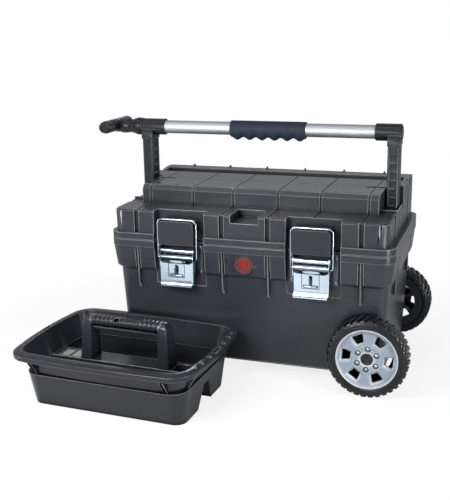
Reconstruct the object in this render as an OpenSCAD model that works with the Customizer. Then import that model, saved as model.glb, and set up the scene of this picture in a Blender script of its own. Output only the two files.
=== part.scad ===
// Rolling tool case with a lift-out carry handle, a tow grip, two wheels, two draw latches
// and a loose tote tray that stands on the floor in front of it.
// Row frame: +X along the case towards the wheels, +Y to the hinges, +Z up, floor at z = 0,
// origin under the middle of the whole set. Units are millimetres.

/* [Case] */
// Length of the rim band
rim_length = 595; // [560:5:640]
// Depth of the rim band, front to back
rim_depth = 348; // [340:2:370]
// Radius of the rim band's upright corners
rim_radius = 30; // [24:1:36]
// Height of the seam above the tub's underside
seam_height = 252; // [245:1:270]
// Height of the tub's half of the rim band
rim_below = 15; // [12:1:20]
// Height of the lid's half of the rim band
rim_above = 14.4; // [12:0.2:20]
// Gap at the seam between tub and lid
seam_gap = 0.6; // [0.4:0.1:1]
// Wall of tub and lid
wall = 4; // [3:0.5:5]
// How far the upright walls of the tub sit inside the rim at its underside
foot_inset = 20.5; // [18:0.5:26]
// How far they sit inside the rim at the panel step
step_inset = 12.5; // [12:0.5:15]
// Height of the step where the thicker panels start
step_height = 185; // [175:1:195]
// How far the panels sit inside the rim
panel_inset = 1.5; // [1:0.5:4]
// Free height between floor and tub
floor_gap = 24; // [18:1:30]

/* [Panels] */
// Distance of the inner upright grooves from the middle
groove_inner = 48.2; // [44:0.2:52]
// Distance of the outer upright grooves from the middle
groove_outer = 233.5; // [228:0.5:240]
// Width of the upright grooves in the walls
groove_width = 9; // [6:0.5:12]
// Depth of the upright grooves
groove_depth = 5; // [3:0.5:6]
// Width of the fine lines over the lid
line_width = 3.2; // [2:0.2:5]
// Depth of the fine lines over the lid
line_depth = 2; // [1:0.2:3]
// Distance of the end-wall grooves from the middle
end_groove = 88; // [80:1:100]

/* [Lid] */
// How far the lid's ends sit inside the rim
lid_end_inset = 11.7; // [10:0.1:14]
// How far the lid's front and back sit inside the rim
lid_side_inset = 4; // [3:0.5:8]
// Height of the ledge round the platform, above the seam
ledge_rise = 62.8; // [54:0.2:72]
// Height of the platform above the ledge
platform_rise = 38.2; // [34:0.2:44]
// Length of the platform between the two arm wells
platform_length = 506; // [500:2:510]
// Distance of the platform's front face from the middle
platform_front = 91.7; // [85:0.1:100]
// Distance of the platform's back edge from the middle
platform_back = 76; // [72:1:80]
// Height and depth of the platform's front bevel
bevel = 9; // [6:0.5:12]
// Distance of the back ridge's front from the middle
ridge_front = 113; // [108:1:120]
// Width of the back ridge's top
ridge_width = 35; // [30:1:38]
// How far the ridge stands above the platform
ridge_rise = 2; // [1:0.5:5]
// Distance of the arm wells' back wall from the middle
well_back = 20; // [17:1:28]
// Distance of the arm wells' front wall from the middle
well_front = 62; // [55:1:70]
// Depth of the arm wells below the ledge
well_depth = 26; // [20:1:32]

/* [Carry handle] */
// Distance of each arm's middle from the middle of the case
arm_reach = 267.5; // [266:0.5:268]
// Thickness of an arm along the case
arm_thick = 23.5; // [20:0.5:24]
// Width of an arm, front to back
arm_width = 40; // [30:0.5:42]
// Height of the crossbar's axis above the platform
bar_rise = 113; // [104:1:124]
// How far the crossbar lies in front of the middle
bar_forward = 6; // [4:0.5:8]
// Outer diameter of the crossbar
bar_diameter = 28; // [26:0.5:29]
// Wall of the crossbar
bar_wall = 2; // [1.5:0.1:2.5]
// Diameter of the tee collars
collar_diameter = 35; // [33:0.5:38]
// Length of a tee collar
collar_length = 52; // [45:1:60]
// How far an arm reaches below the ledge when the handle is up
arm_tail = 52; // [45:1:54]
// How far the handle slides down
handle_travel = 80; // [60:1:84]
// Length of the rubber grip
grip_length = 164; // [140:4:180]
// Number of finger waves under the grip
finger_waves = 6; // [4:1:7]

/* [Tow grip] */
// Distance of the tow grip's axis from its lock collar
tow_stem_length = 49.5; // [45:0.5:60]
// Length of the tow grip
tow_length = 125; // [110:1:140]
// Diameter of the tow grip
tow_diameter = 27; // [25:0.5:30]
// Outer diameter of the inner tow tube
tow_tube_diameter = 23; // [20:0.5:23]
// How far the tow grip pulls out
tow_travel = 300; // [200:10:300]
// Outer diameter of the lock collar at the crossbar's end
lock_diameter = 38; // [36:1:42]

/* [Latches] */
// Distance of each latch from the middle of the case
latch_reach = 140; // [136:0.5:144]
// Width of a latch pocket in tub and lid
pocket_width = 109; // [106:1:112]
// Width of the latch catch on the lid
catch_width = 76; // [70:1:76]
// How far the latch lever's pivot lies below the seam
pivot_drop = 16; // [15:0.5:18]
// Distance of the bail's pins from the lever's pivot
bail_offset = 15; // [14:0.5:16]
// Length of the lever below its pivot
lever_length = 70; // [60:1:74]
// Width of the lever over its side flanges
lever_width = 73; // [70:0.5:74]
// Thickness of the bail's wire
wire = 4; // [3.5:0.5:5]

/* [Wheels] */
// Diameter of the tyres over their tread
wheel_diameter = 158.6; // [150:0.2:166]
// Width of a tyre
tyre_width = 44; // [40:1:44]
// Diameter of the wheel rim
wheel_rim = 121.4; // [112:0.2:126]
// How far the axle lies inside the rim's end
axle_inset = 42.7; // [40:0.1:48]
// Diameter of the axle
axle_diameter = 14; // [12:0.5:16]
// How far the tyres' inner faces lie inside the rim band's front and back
wheel_recess = 12; // [8:1:14]
// Number of tread blocks round a tyre
tread_blocks = 28; // [20:2:32]

/* [Tray] */
// Length of the tray over the middle of its bowed ends
tray_length = 390; // [370:2:396]
// Depth of the tray over the middle of its bowed sides
tray_depth = 302; // [290:2:308]
// Height of the tray's rim
tray_height = 114; // [110:1:118]
// Wall of the tray
tray_wall = 3; // [2.5:0.25:3.5]
// Height of the ridge between the two troughs
tray_ridge = 68; // [60:1:72]
// Width of the ridge's top
ridge_top = 44; // [36:1:48]
// Length of the tray's foot
foot_length = 320; // [300:2:324]
// Depth of the tray's foot
foot_depth = 208; // [204:2:216]
// Height of the step in the tray's walls
tray_step = 68; // [64:1:74]
// Height of the top of the tray's handle
tray_handle_height = 156; // [146:1:160]
// Turn of the tray against the case, in degrees
tray_turn = -2; // [-3:0.5:0]
// Gap between the tray's rim and the tub's front wall
tray_gap = 3; // [2:1:40]

/* [Hidden] */

// Colours as the photo shows them
charcoal = [0.22, 0.23, 0.25];
coal = [0.12, 0.12, 0.13];
chrome = [0.80, 0.84, 0.88];
alloy = [0.66, 0.69, 0.73];
navy = [0.13, 0.14, 0.20];
rim_grey = [0.66, 0.70, 0.76];
badge_red = [0.78, 0.16, 0.14];

EPS = 0.01;
hl = rim_length / 2;
hd = rim_depth / 2;
seam_low = seam_height - seam_gap / 2;
seam_high = seam_height + seam_gap / 2;
rim_bottom = seam_height - rim_below;
rim_top = seam_height + rim_above;
panel_low_inset = panel_inset + 4.5;
step_rise = 7;
ledge_height = seam_height + ledge_rise;
platform_height = ledge_height + platform_rise;
lid_hl = hl - lid_end_inset;
lid_hd = hd - lid_side_inset;
ridge_height = platform_height + ridge_rise;
ridge_back = ridge_front + ridge_width;
trench_floor = platform_height - 15;
corner = 26;

// Latch values
tub_pocket = hd - 14;
lid_pocket = hd - 27;
pocket_foot = seam_height - 92;
pivot_height = seam_height - pivot_drop;
pivot_y = -(hd + 6);
bail_y = pivot_y;
bail_low = pivot_height - bail_offset;
catch_front = hd + 14;
catch_top = seam_height + 47;
catch_bottom = seam_height - 2;
catch_hook = 15;
rivet_r = 1.6;
rivet_x = 44;
rivet_z = [seam_height - 61, seam_height - 11];
badge_r = 19;
badge_z = seam_height - 37;
badge_seat = hd - 5;
play = 0.3;
bail_top = catch_top + play + wire / 2;
lever_half = lever_width / 2;
sheet = 1.5;
ear_in = lever_half + 0.5;
ear_out = ear_in + 1.8;
wire_x = ear_out + 0.7 + wire / 2;
pin_r = 3;
run = 0.05;

// Handle values
bar_height = platform_height + bar_rise;
bar_r = bar_diameter / 2;
bar_in = bar_r - bar_wall;
collar_r = collar_diameter / 2;
collar_out = arm_reach + arm_thick / 2 + 2;
arm_top = bar_height - collar_r + 2;
arm_low = ledge_height - arm_tail;
platform_hl = platform_length / 2;
bar_left = -collar_out - 8;
bar_right = collar_out - 0.6;
lock_left = bar_left - 11;
stem_in = lock_left - 0.9;
tow_reach = tow_stem_length - stem_in;

// Wheel values
axle_reach = hl - axle_inset;
wheel_r = wheel_diameter / 2;
rim_r = wheel_rim / 2;
axle_r = axle_diameter / 2;
axle_z = wheel_r - floor_gap;
wheel_in = hd - wheel_recess;
wheel_out = wheel_in + tyre_width;

// Hinge values
hinge_y = hd + 9;
hinge_r = 8;
hinge_pin_r = 3;
hinge_spots = [-190, 0, 190];

// Tray values, with its own middle as zero
tray_hl = tray_length / 2;
tray_hd = tray_depth / 2;
tray_r = 46;
bow_end = 7;
bow_side = 4;
lip_end = 15;
lip_side = 20;
// Outline with bowed sides and ends, given by half its length and depth, corner radius and bows
function bowed_half(x, y, r, bx, by) = let (a = x - bx - r, b = y - by - r) concat(
    [for (t = [-1 : 0.25 : 1]) [t * a, -y + by * t * t]],
    [for (k = [1 : 7]) [a + r * sin(k * 11.25), -b - r * cos(k * 11.25)]],
    [for (t = [-1 : 0.25 : 1]) [x - bx * t * t, t * b]],
    [for (k = [1 : 7]) [a + r * cos(k * 11.25), b + r * sin(k * 11.25)]]);
function bowed(x, y, r, bx, by) = let (half = bowed_half(x, y, r, bx, by))
    concat(half, [for (p = half) -p]);
tray_outline = bowed(tray_hl, tray_hd, tray_r, bow_end, bow_side);
tray_x = -195;
tray_reach_x = max([for (p = tray_outline) p.x * cos(tray_turn) - p.y * sin(tray_turn)]);
tray_reach_y = max([for (p = tray_outline) p.x * sin(tray_turn) + p.y * cos(tray_turn)]);

tub_face = hd - foot_inset + (foot_inset - step_inset) * (tray_height - floor_gap) / step_height;
tray_y = -tub_face - tray_gap - tray_reach_y;

// The whole set's box, in the case's own coordinates, gives the shift to the row frame
box_left = min(tray_x - tray_reach_x, -(tow_reach + tow_diameter / 2));
box_right = axle_reach + wheel_r;
box_front = tray_y - tray_reach_y;
box_back = wheel_out;
shift_x = -(box_left + box_right) / 2;
shift_y = -(box_front + box_back) / 2;

module in_case() { translate([shift_x, shift_y, floor_gap]) children(); }
module in_tray() { translate([shift_x + tray_x, shift_y + tray_y, 0]) rotate([0, 0, tray_turn])
    children(); }

// Rounded rectangle about the middle
module plate(l, d, r) {
    square([l - 2 * r, d], center = true);
    square([l, d - 2 * r], center = true);
    for (sx = [-1, 1], sy = [-1, 1])
        translate([sx * (l / 2 - r), sy * (d / 2 - r)]) circle(r, $fn = 32);
}
module slab(l, d, r, z, h) { translate([0, 0, z]) linear_extrude(h) plate(l, d, r); }
// Upright wall of the tub between two heights, given by how far it sits inside the rim
module tapered(inset0, z0, inset1, z1) {
    hull() {
        slab(rim_length - 2 * inset0, rim_depth - 2 * inset0, corner, z0, EPS);
        slab(rim_length - 2 * inset1, rim_depth - 2 * inset1, corner, z1 - EPS, EPS);
    }
}
module rod_x(r, x0, x1) { translate([x0, 0, 0]) rotate([0, 90, 0]) cylinder(r = r, h = x1 - x0, $fn = 64); }
module rod_y(r, y0, y1) { translate([0, y0, 0]) rotate([-90, 0, 0])
    cylinder(r = r, h = y1 - y0, $fn = 96); }
module rod_z(r, z0, z1) { translate([0, 0, z0]) cylinder(r = r, h = z1 - z0, $fn = 48); }
// Box from one corner to the other
module block(a, b) { translate(a) cube(b - a); }
// Side view outline in Y and Z, drawn out along X
module along_x(x0, x1) {
    translate([x0, 0, 0]) rotate([90, 0, 90]) linear_extrude(x1 - x0) children();
}

// Outside of the tub: rounded foot, upright walls, step, thicker panels and rim band
foot_edge = 7;
module tub_outside() {
    tapered(foot_inset + foot_edge, 0, foot_inset, foot_edge);
    tapered(foot_inset, foot_edge - EPS, step_inset, step_height);
    tapered(step_inset, step_height - EPS, panel_low_inset, step_height + step_rise);
    tapered(panel_low_inset, step_height + step_rise - EPS, panel_inset, rim_bottom + EPS);
    slab(rim_length, rim_depth, rim_radius, rim_bottom, seam_low - rim_bottom);
}
// Inside of the tub: the walls stay behind the latch pockets, and a tunnel stays over the axle
mouth = panel_low_inset + groove_depth + wall;
tunnel = axle_r + 15;
module tub_inside() {
    difference() {
        tapered(foot_inset + wall, wall, step_inset + wall, step_height + EPS);
        block([axle_reach - tunnel, -hd, 0], [hl, hd, axle_z + tunnel]);
    }
    difference() {
        slab(rim_length - 2 * mouth, rim_depth - 2 * mouth, corner - 4, step_height,
            seam_height - step_height);
        for (s = [-1, 1])
            block([s * latch_reach - pocket_width / 2 - wall, -hd, step_height - 1],
                [s * latch_reach + pocket_width / 2 + wall, -tub_pocket + wall, seam_height + 1]);
    }
}
boss_end = hd - foot_inset + 6;
// Box cut into the front and the back from outside, down to a depth
module cut_long_walls(x0, x1, floor_y, z0, z1) {
    for (s = [0, 1]) mirror([0, s, 0]) block([x0, -hd - 1, z0], [x1, -floor_y, z1]);
}
// Box cut into both ends from outside, down to a depth
module cut_end_walls(y0, y1, floor_x, z0, z1) {
    for (s = [0, 1]) mirror([s, 0, 0]) block([floor_x, y0, z0], [hl + 1, y1, z1]);
}
grooves = [-groove_outer, -groove_inner, groove_inner, groove_outer];
tub_groove_floor = hd - panel_low_inset - groove_depth;
rib_foot = step_height - 32;
rib_in = mouth - 0.3;
module tub() {
    color(charcoal) in_case() difference() {
        union() {
            difference() {
                tub_outside();
                tub_inside();
                for (x = grooves)
                    cut_long_walls(x - groove_width / 2, x + groove_width / 2, tub_groove_floor,
                        step_height + 2, rim_bottom);
                for (y = [-end_groove, end_groove])
                    cut_end_walls(y - groove_width, y + groove_width, hl - panel_low_inset - groove_depth,
                        step_height + 2, rim_bottom);
            }
            // Upright ribs that run down from the band through each groove
            for (x = grooves, s = [0, 1]) mirror([0, s, 0]) along_x(x - 1.7, x + 1.7)
                polygon([[rib_in - hd, rib_foot - 6], [panel_low_inset + 1 - hd, rib_foot + 6],
                    [panel_inset + 1 - hd, rim_bottom + 1], [rib_in - hd, rim_bottom + 1]]);
            for (y = [-end_groove, end_groove], s = [0, 1]) mirror([s, 0, 0])
                block([hl - step_inset - 2, y - 1.7, rib_foot],
                    [hl - panel_low_inset - 1, y + 1.7, rim_bottom + 1]);
            // Bosses that the axle comes out of
            for (s = [0, 1]) mirror([0, s, 0]) translate([axle_reach, 0, axle_z])
                rod_y(axle_r + 9, -boss_end, foot_inset + 3 - hd);
            // Hinge knuckles on the back of the band
            for (x = hinge_spots, x0 = [x - 27, x + 10]) {
                translate([0, hinge_y, seam_height]) rod_x(hinge_r, x0, x0 + 17);
                block([x0, hd - 3, seam_height - hinge_r], [x0 + 17, hinge_y, seam_low]);
            }
        }
        // Latch pockets through the band and panels, with their rivet holes
        for (s = [-1, 1]) {
            block([s * latch_reach - pocket_width / 2, -hd - 1, pocket_foot],
                [s * latch_reach + pocket_width / 2, -tub_pocket, seam_height + 1]);
            translate([s * latch_reach, 0, 0]) rivets(rivet_r + 0.1, -tub_pocket - 1, 3 - tub_pocket);
        }
        // Axle bore, and the channel below the tunnel in three bays
        translate([axle_reach, 0, axle_z]) rod_y(axle_r + run, -hd, hd);
        bay = hd - foot_inset - foot_edge - wall;
        for (y = [[-bay, -62], [-58, 58], [62, bay]])
            block([axle_reach - tunnel + wall, y[0], -1],
                [hl - foot_inset - foot_edge - wall, y[1], axle_z + tunnel - wall]);
        for (x = hinge_spots) translate([0, hinge_y, seam_height])
            rod_x(hinge_pin_r + run / 2, x - 28, x + 28);
        // Round seat of the badge
        translate([0, 0, badge_z]) rod_y(badge_r + 0.3, -hd, -badge_seat);
    }
}
// Four rivets round a latch base, drawn about the latch's middle
module rivets(r, y0, y1) {
    for (s = [-1, 1], z = rivet_z) translate([s * rivet_x, 0, z]) rod_y(r, y0, y1);
}

// Feet under the tub's far end, as high as the wheels lift the other end
foot_length_half = 34;
foot_depth_half = 26;
shoe_inset = 5;
pad_inset = 8;
foot_x = hl - foot_inset - foot_length_half - 8;
foot_y = hd - foot_inset - foot_depth_half - 16;
pad = 4;
module feet() {
    color(charcoal) in_case() for (s = [-1, 1]) translate([-foot_x, s * foot_y, 0]) hull() {
        slab(2 * foot_length_half, 2 * foot_depth_half, 10, -EPS, EPS);
        slab(2 * (foot_length_half - shoe_inset), 2 * (foot_depth_half - shoe_inset), 8,
            pad - floor_gap, EPS);
    }
}
module foot_pads() {
    color(coal) in_case() for (s = [-1, 1]) translate([-foot_x, s * foot_y, 0])
        slab(2 * (foot_length_half - pad_inset), 2 * (foot_depth_half - pad_inset), 8, -floor_gap, pad);
}

// Steel axle from wheel to wheel
axle_end = wheel_out - 4.5;
module axle() {
    color(alloy) in_case() translate([axle_reach, 0, axle_z]) rod_y(axle_r, -axle_end, axle_end);
}
// A washer inside each wheel and a push-on cap washer outside it
module axle_washers() {
    color(chrome) in_case() for (s = [0, 1]) mirror([0, s, 0]) translate([axle_reach, 0, axle_z])
        for (y = [[boss_end, wheel_in - play], [wheel_out - 6.2, wheel_out - 5]]) difference() {
            rod_y(axle_r + 5, y[0], y[1]);
            rod_y(axle_r + run / 2, y[0] - 1, y[1] + 1);
        }
}
// Plain round badge with two raised rings
module badge() {
    color(badge_red) in_case() translate([0, 0, badge_z]) {
        rod_y(badge_r, -badge_seat - 4, -badge_seat);
        for (r = [badge_r, 11]) difference() {
            rod_y(r, -badge_seat - 5, -badge_seat - 3);
            rod_y(r - 1.5, -badge_seat - 6, -badge_seat - 2);
        }
    }
}
module hinge_pins() {
    color(chrome) in_case() for (x = hinge_spots) translate([0, hinge_y, seam_height])
        rod_x(hinge_pin_r, x - 28, x + 28);
}

// Steel base of a draw latch: riveted plate, top flange, two ears and a padlock staple
base_low = seam_height - 68;
base_top = seam_height - 5;
base_half = pocket_width / 2 - 5.5;
plate_face = tub_pocket + sheet;
lever_low = pivot_height - lever_length;
staple_z = [lever_low + 24, lever_low + 39];
module latch_base(s) {
    color(chrome) in_case() translate([s * latch_reach, 0, 0]) difference() {
        union() {
            block([-base_half, -plate_face, base_low], [base_half, -tub_pocket, base_top]);
            block([-lever_half, -plate_face - 13, base_top - sheet], [lever_half, -tub_pocket, base_top]);
            for (m = [0, 1]) mirror([m, 0, 0]) {
                block([ear_in, pivot_y, pivot_height - 9], [ear_out, -plate_face + 0.5, pivot_height + 9]);
                translate([0, pivot_y, pivot_height]) rod_x(9, ear_in, ear_out);
            }
            block([-1.5, -lever_face - 8, staple_z[0]], [1.5, -plate_face + 0.5, staple_z[1]]);
        }
        translate([0, pivot_y, pivot_height]) rod_x(pin_r + run / 2, -ear_out - 1, ear_out + 1);
        translate([0, -lever_face - 3, (staple_z[0] + staple_z[1]) / 2]) rod_x(3, -3, 3);
        rivets(rivet_r + 0.1, -plate_face - 1, 1 - tub_pocket);
    }
}
module latch_base_left() { latch_base(-1); }
module latch_base_right() { latch_base(1); }
// Pivot pin with its roller between the lever's flanges
module latch_pin(s) {
    color(chrome) in_case() translate([s * latch_reach, pivot_y, pivot_height]) {
        rod_x(pin_r, -ear_out, ear_out);
        rod_x(pin_r + 2, 2 - lever_half, lever_half - 2);
    }
}
module latch_pin_left() { latch_pin(-1); }
module latch_pin_right() { latch_pin(1); }
module latch_rivets() {
    color(alloy) in_case() for (s = [-1, 1]) translate([s * latch_reach, 0, 0]) {
        rivets(rivet_r, -plate_face - 1, 2.5 - tub_pocket);
        rivets(rivet_r + 2, -plate_face - 1.6, -plate_face);
    }
}

// Lever: face plate with a window for the staple, side flanges, barrel and finger lip
lever_face = hd + 14;
module latch_lever(s) {
    flange = sheet;
    color(chrome) in_case() translate([s * latch_reach, 0, 0]) difference() {
        union() {
            along_x(-lever_half, lever_half) polygon([[-lever_face, bail_low], [-lever_face, lever_low + 3],
                [-lever_face - 6, lever_low], [-lever_face - 6, lever_low - 2.5],
                    [2.5 - lever_face, lever_low + 1],
                [2.5 - lever_face, bail_low]]);
            translate([0, bail_y, bail_low]) rod_x(lever_face + bail_y, -lever_half, lever_half);
            for (m = [0, 1]) mirror([m, 0, 0]) {
                along_x(lever_half - flange, lever_half) {
                    polygon([[-lever_face + 1, lever_low + 4], [-lever_face + 1, pivot_height],
                        [pivot_y + 8, pivot_height], [pivot_y + 8, bail_low - 6],
                            [6 - lever_face, lever_low + 4]]);
                    translate([pivot_y, pivot_height]) circle(8, $fn = 48);
                }
            }
        }
        translate([0, pivot_y, pivot_height]) rod_x(pin_r + run, -hl, hl);
        for (m = [0, 1]) mirror([m, 0, 0]) translate([0, bail_y, bail_low])
            rod_x(wire / 2 + run, lever_half - 5, lever_half + 1);
        // Sunk square round the window
        block([-17, -lever_face - 1, staple_z[0] - 5], [17, 1 - lever_face, staple_z[1] + 5]);
        block([-3, -lever_face - 1, staple_z[0] - 4.5], [3, 4 - lever_face, staple_z[1] + 4.5]);
        // Room for the roller on the pivot pin
        translate([0, pivot_y, pivot_height]) rod_x(pin_r + 3, flange - lever_half, lever_half - flange);
    }
}
module latch_lever_left() { latch_lever(-1); }
module latch_lever_right() { latch_lever(1); }
// Wire bail: two legs, rounded top corners, top bar and the turned-in ends
bend = 10;
module latch_bail(s) {
    r = wire / 2;
    color(chrome) in_case() translate([s * latch_reach, bail_y, 0]) {
        for (m = [0, 1]) mirror([m, 0, 0]) {
            translate([wire_x, 0, 0]) rod_z(r, bail_low, bail_top - bend);
            translate([wire_x, 0, bail_low]) sphere(r, $fn = 32);
            translate([0, 0, bail_low]) rod_x(r, lever_half - 4, wire_x);
            translate([wire_x - bend, 0, bail_top - bend]) rotate([90, 0, 0])
                rotate_extrude(angle = 90, $fn = 64) translate([bend, 0]) circle(r, $fn = 32);
        }
        translate([0, 0, bail_top]) rod_x(r, bend - wire_x, wire_x - bend);
    }
}
module latch_bail_left() { latch_bail(-1); }
module latch_bail_right() { latch_bail(1); }

// Outside of the lid: rim band, walls up to the ledge, platform and the high part behind it
lid_r = 22;
platform_face = platform_height - bevel;
module lid_outside() {
    slab(rim_length, rim_depth, rim_radius, seam_high, rim_top - seam_high);
    slab(2 * lid_hl, 2 * lid_hd, lid_r, rim_top - EPS, ledge_height - 3 - rim_top + 2 * EPS);
    hull() {
        slab(2 * lid_hl, 2 * lid_hd, lid_r, ledge_height - 3, EPS);
        slab(2 * lid_hl - 6, 2 * lid_hd - 6, lid_r - 3, ledge_height - EPS, EPS);
    }
    along_x(-platform_hl, platform_hl) polygon([[-platform_front, ledge_height - 2],
        [-platform_front, platform_face], [bevel - platform_front, platform_height],
        [well_back + 1, platform_height], [well_back + 1, ledge_height - 2]]);
    intersection() {
        slab(2 * lid_hl, 2 * lid_hd, lid_r, ledge_height - 3, 60);
        along_x(-hl, hl) polygon([[well_back, ledge_height - 3], [well_back, platform_height],
            [platform_back, platform_height], [platform_back, trench_floor], [ridge_front, trench_floor],
            [ridge_front, ridge_height], [ridge_back, ridge_height], [lid_hd, ledge_height],
            [lid_hd, ledge_height - 3]]);
    }
    // Solid ends that close the trench between platform and ridge
    for (s = [0, 1]) mirror([s, 0, 0]) along_x(lid_hl - 12, lid_hl - 1.5)
        polygon([[well_back + 1, ledge_height - 2], [well_back + 1, platform_height],
            [platform_back, platform_height], [ridge_front, ridge_height],
            [ridge_front + 4, ledge_height - 2]]);
    // Low wall in front of each arm well
    for (s = [0, 1]) mirror([s, 0, 0])
        block([platform_hl - 1, -well_front - wall, ledge_height - 5],
            [lid_hl - 1, -well_front, ledge_height + 5]);
}
// Inside of the lid: one room under the ledge and platform, with a flange round the opening
flange_x = lid_hl - 6.2;
flange_y = lid_hd - 16;
flange_top = 258;
room_x = lid_hl - wall;
room_y = lid_hd - 5 - wall;
well_floor = ledge_height - well_depth;
recess_half = 29;
recess_back = hd - 64;
recess_floor = ledge_height - 15.5;
module lid_inside() {
    difference() {
        slab(2 * flange_x, 2 * flange_y, 16, seam_low, flange_top + EPS - seam_low);
        for (s = [-1, 1]) block([s * latch_reach - 66, -hd, 0],
            [s * latch_reach + 66, 8 - lid_pocket, hd * 2]);
    }
    difference() {
        union() {
            slab(2 * room_x, 2 * room_y, lid_r - wall, flange_top, ledge_height - wall - flange_top);
            along_x(wall - platform_hl, platform_hl - wall)
                polygon([[wall - platform_front, ledge_height - wall - 2],
                [wall - platform_front, platform_face - 1.7],
                    [bevel + 1.7 - platform_front, platform_height - wall],
                [30, platform_height - wall], [30, ledge_height - wall - 2]]);
            intersection() {
                slab(2 * room_x, 2 * room_y, lid_r - wall, ledge_height - wall - 1, 60);
                along_x(-hl, hl) polygon([[well_back + wall, ledge_height - wall - 1],
                    [well_back + wall, platform_height - wall],
                        [platform_back - wall, platform_height - wall],
                    [platform_back - wall, trench_floor - wall], [ridge_front + wall, trench_floor - wall],
                    [ridge_front + wall, ridge_height - wall], [ridge_back - 2.4, ridge_height - wall],
                    [room_y, ledge_height + 8], [room_y, ledge_height - wall - 1]]);
            }
        }
        for (s = [-1, 1])
            block([s * latch_reach - pocket_width / 2 - wall, -hd, 0],
                [s * latch_reach + pocket_width / 2 + wall, 7 - lid_pocket, hd * 2]);
        block([-recess_half - wall, -hd, recess_floor - wall],
            [recess_half + wall, wall - recess_back, ledge_height]);
        for (s = [0, 1]) mirror([s, 0, 0]) {
            block([platform_hl - wall, -well_front - wall, well_floor - wall],
                [hl, well_back + wall, ledge_height + 5]);
            for (y = [-end_groove, end_groove])
                block([lid_hl - 5 - wall, y - groove_width - wall, rim_top - wall],
                    [hl, y + groove_width + wall, y > 0 ? trench_floor : ledge_height + 6]);
            block([slot_x[0] - wall, -bar_forward - slot_half - wall, slot_floor - wall],
                [platform_hl, slot_half + wall - bar_forward, platform_height]);
        }
    }
}
// Slots for the release buttons, beside the arms
slot_x = [platform_hl - 42, platform_hl - 3];
slot_half = 7;
slot_floor = platform_height - 19;
tip_low = slot_floor + 2;
tip_high = platform_height - 5;
fin_x = [45, 135, 225];
module lid() {
    color(charcoal) in_case() difference() {
        union() {
            difference() {
                lid_outside();
                lid_inside();
            }
            for (x = hinge_spots) {
                translate([0, hinge_y, seam_height]) rod_x(hinge_r, x - 9.7, x + 9.7);
                block([x - 9.7, hd - 3, seam_high], [x + 9.7, hinge_y, seam_height + hinge_r]);
            }
            // Upright fins over the back ridge
            for (m = [0, 1], x = fin_x) mirror([m, 0, 0]) along_x(x - 1.5, x + 1.5)
                polygon([[ridge_back - 8, ridge_height - 2], [ridge_back - 6, ridge_height + 4],
                    [ridge_back + 2, ridge_height + 4], [lid_hd - 0.5, ledge_height + 4],
                        [lid_hd - 3, ledge_height]]);
        }
        for (x = hinge_spots) translate([0, hinge_y, seam_height])
            rod_x(hinge_pin_r + run, x - 10, x + 10);
        // Latch pockets with the screw holes of the catches
        for (s = [-1, 1]) {
            block([s * latch_reach - pocket_width / 2, -hd - 1, seam_low],
                [s * latch_reach + pocket_width / 2, -lid_pocket, ledge_height + 1]);
            catch_holes(s, -lid_pocket - 1, 6 - lid_pocket);
        }
        // Finger recess in the middle of the front edge
        block([-recess_half, -hd, recess_floor], [recess_half, -recess_back, ledge_height + 1]);
        for (x = grooves)
            cut_long_walls(x - groove_width / 2, x + groove_width / 2, lid_hd - 5, rim_top,
                ledge_height + 1);
        for (y = [-end_groove, end_groove])
            cut_end_walls(y - groove_width, y + groove_width, lid_hl - 5, rim_top,
                y > 0 ? ridge_height + 1 : ledge_height + 1);
        for (s = [0, 1]) mirror([s, 0, 0]) {
            // Arm wells and the holes for the arm guides in their floors
            block([platform_hl, -well_front, well_floor], [room_x, well_back, platform_height + 1]);
            block([guide_x[0], -bar_forward - guide_half, well_floor - wall - 1],
                [guide_x[1], guide_half - bar_forward, well_floor + 1]);
            block([slot_x[0], -bar_forward - slot_half, slot_floor],
                [slot_x[1], slot_half - bar_forward, hd * 3]);
            block([slot_x[1] - 1, 0.7 - bar_forward - slot_half, tip_low - 0.3],
                [platform_hl + 1, slot_half - 0.7 - bar_forward, tip_high + 0.3]);
            for (x = fine_lines) lid_line(x);
        }
        for (y = [-80, -2]) block([-platform_hl, y - line_width / 2, platform_height - line_depth],
            [platform_hl, y + line_width / 2, platform_height + 1]);
    }
}
// Fine line over ledge, platform front, bevel and platform
fine_lines = [groove_inner, 136.5, groove_outer];
module lid_line(x) {
    in_y = line_depth - platform_front;
    in_z = platform_height - line_depth;
    along_x(x - line_width / 2, x + line_width / 2) polygon([[-lid_hd - 1, ledge_height + 1],
        [-lid_hd - 1, ledge_height - line_depth], [in_y, ledge_height - line_depth],
        [in_y, platform_face - 0.8], [in_y + bevel - 1.2, in_z], [platform_back - 5, in_z],
        [platform_back - 5, platform_height + 1], [bevel - platform_front - 1, platform_height + 1],
        [-platform_front - 1, platform_face + 1], [-platform_front - 1, ledge_height + 1]]);
}
// Rubber lip under the lid that dips into the tub's mouth and goes round the latch pockets
module lip_outline(g) {
    difference() {
        plate(2 * (hl - mouth - 0.5 - g), 2 * (hd - mouth - 0.5 - g), corner - 5 - g);
        for (s = [-1, 1]) translate([s * latch_reach - pocket_width / 2 - wall - 0.3 - g, -hd])
            square([pocket_width + 2 * wall + 0.6 + 2 * g, hd - lid_pocket + 4.5 + g]);
    }
}
module lid_seal() {
    color(coal) in_case() translate([0, 0, seam_height - 6]) linear_extrude(seam_high - seam_height + 6)
        difference() {
            lip_outline(0);
            lip_outline(1.8);
        }
}

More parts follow.
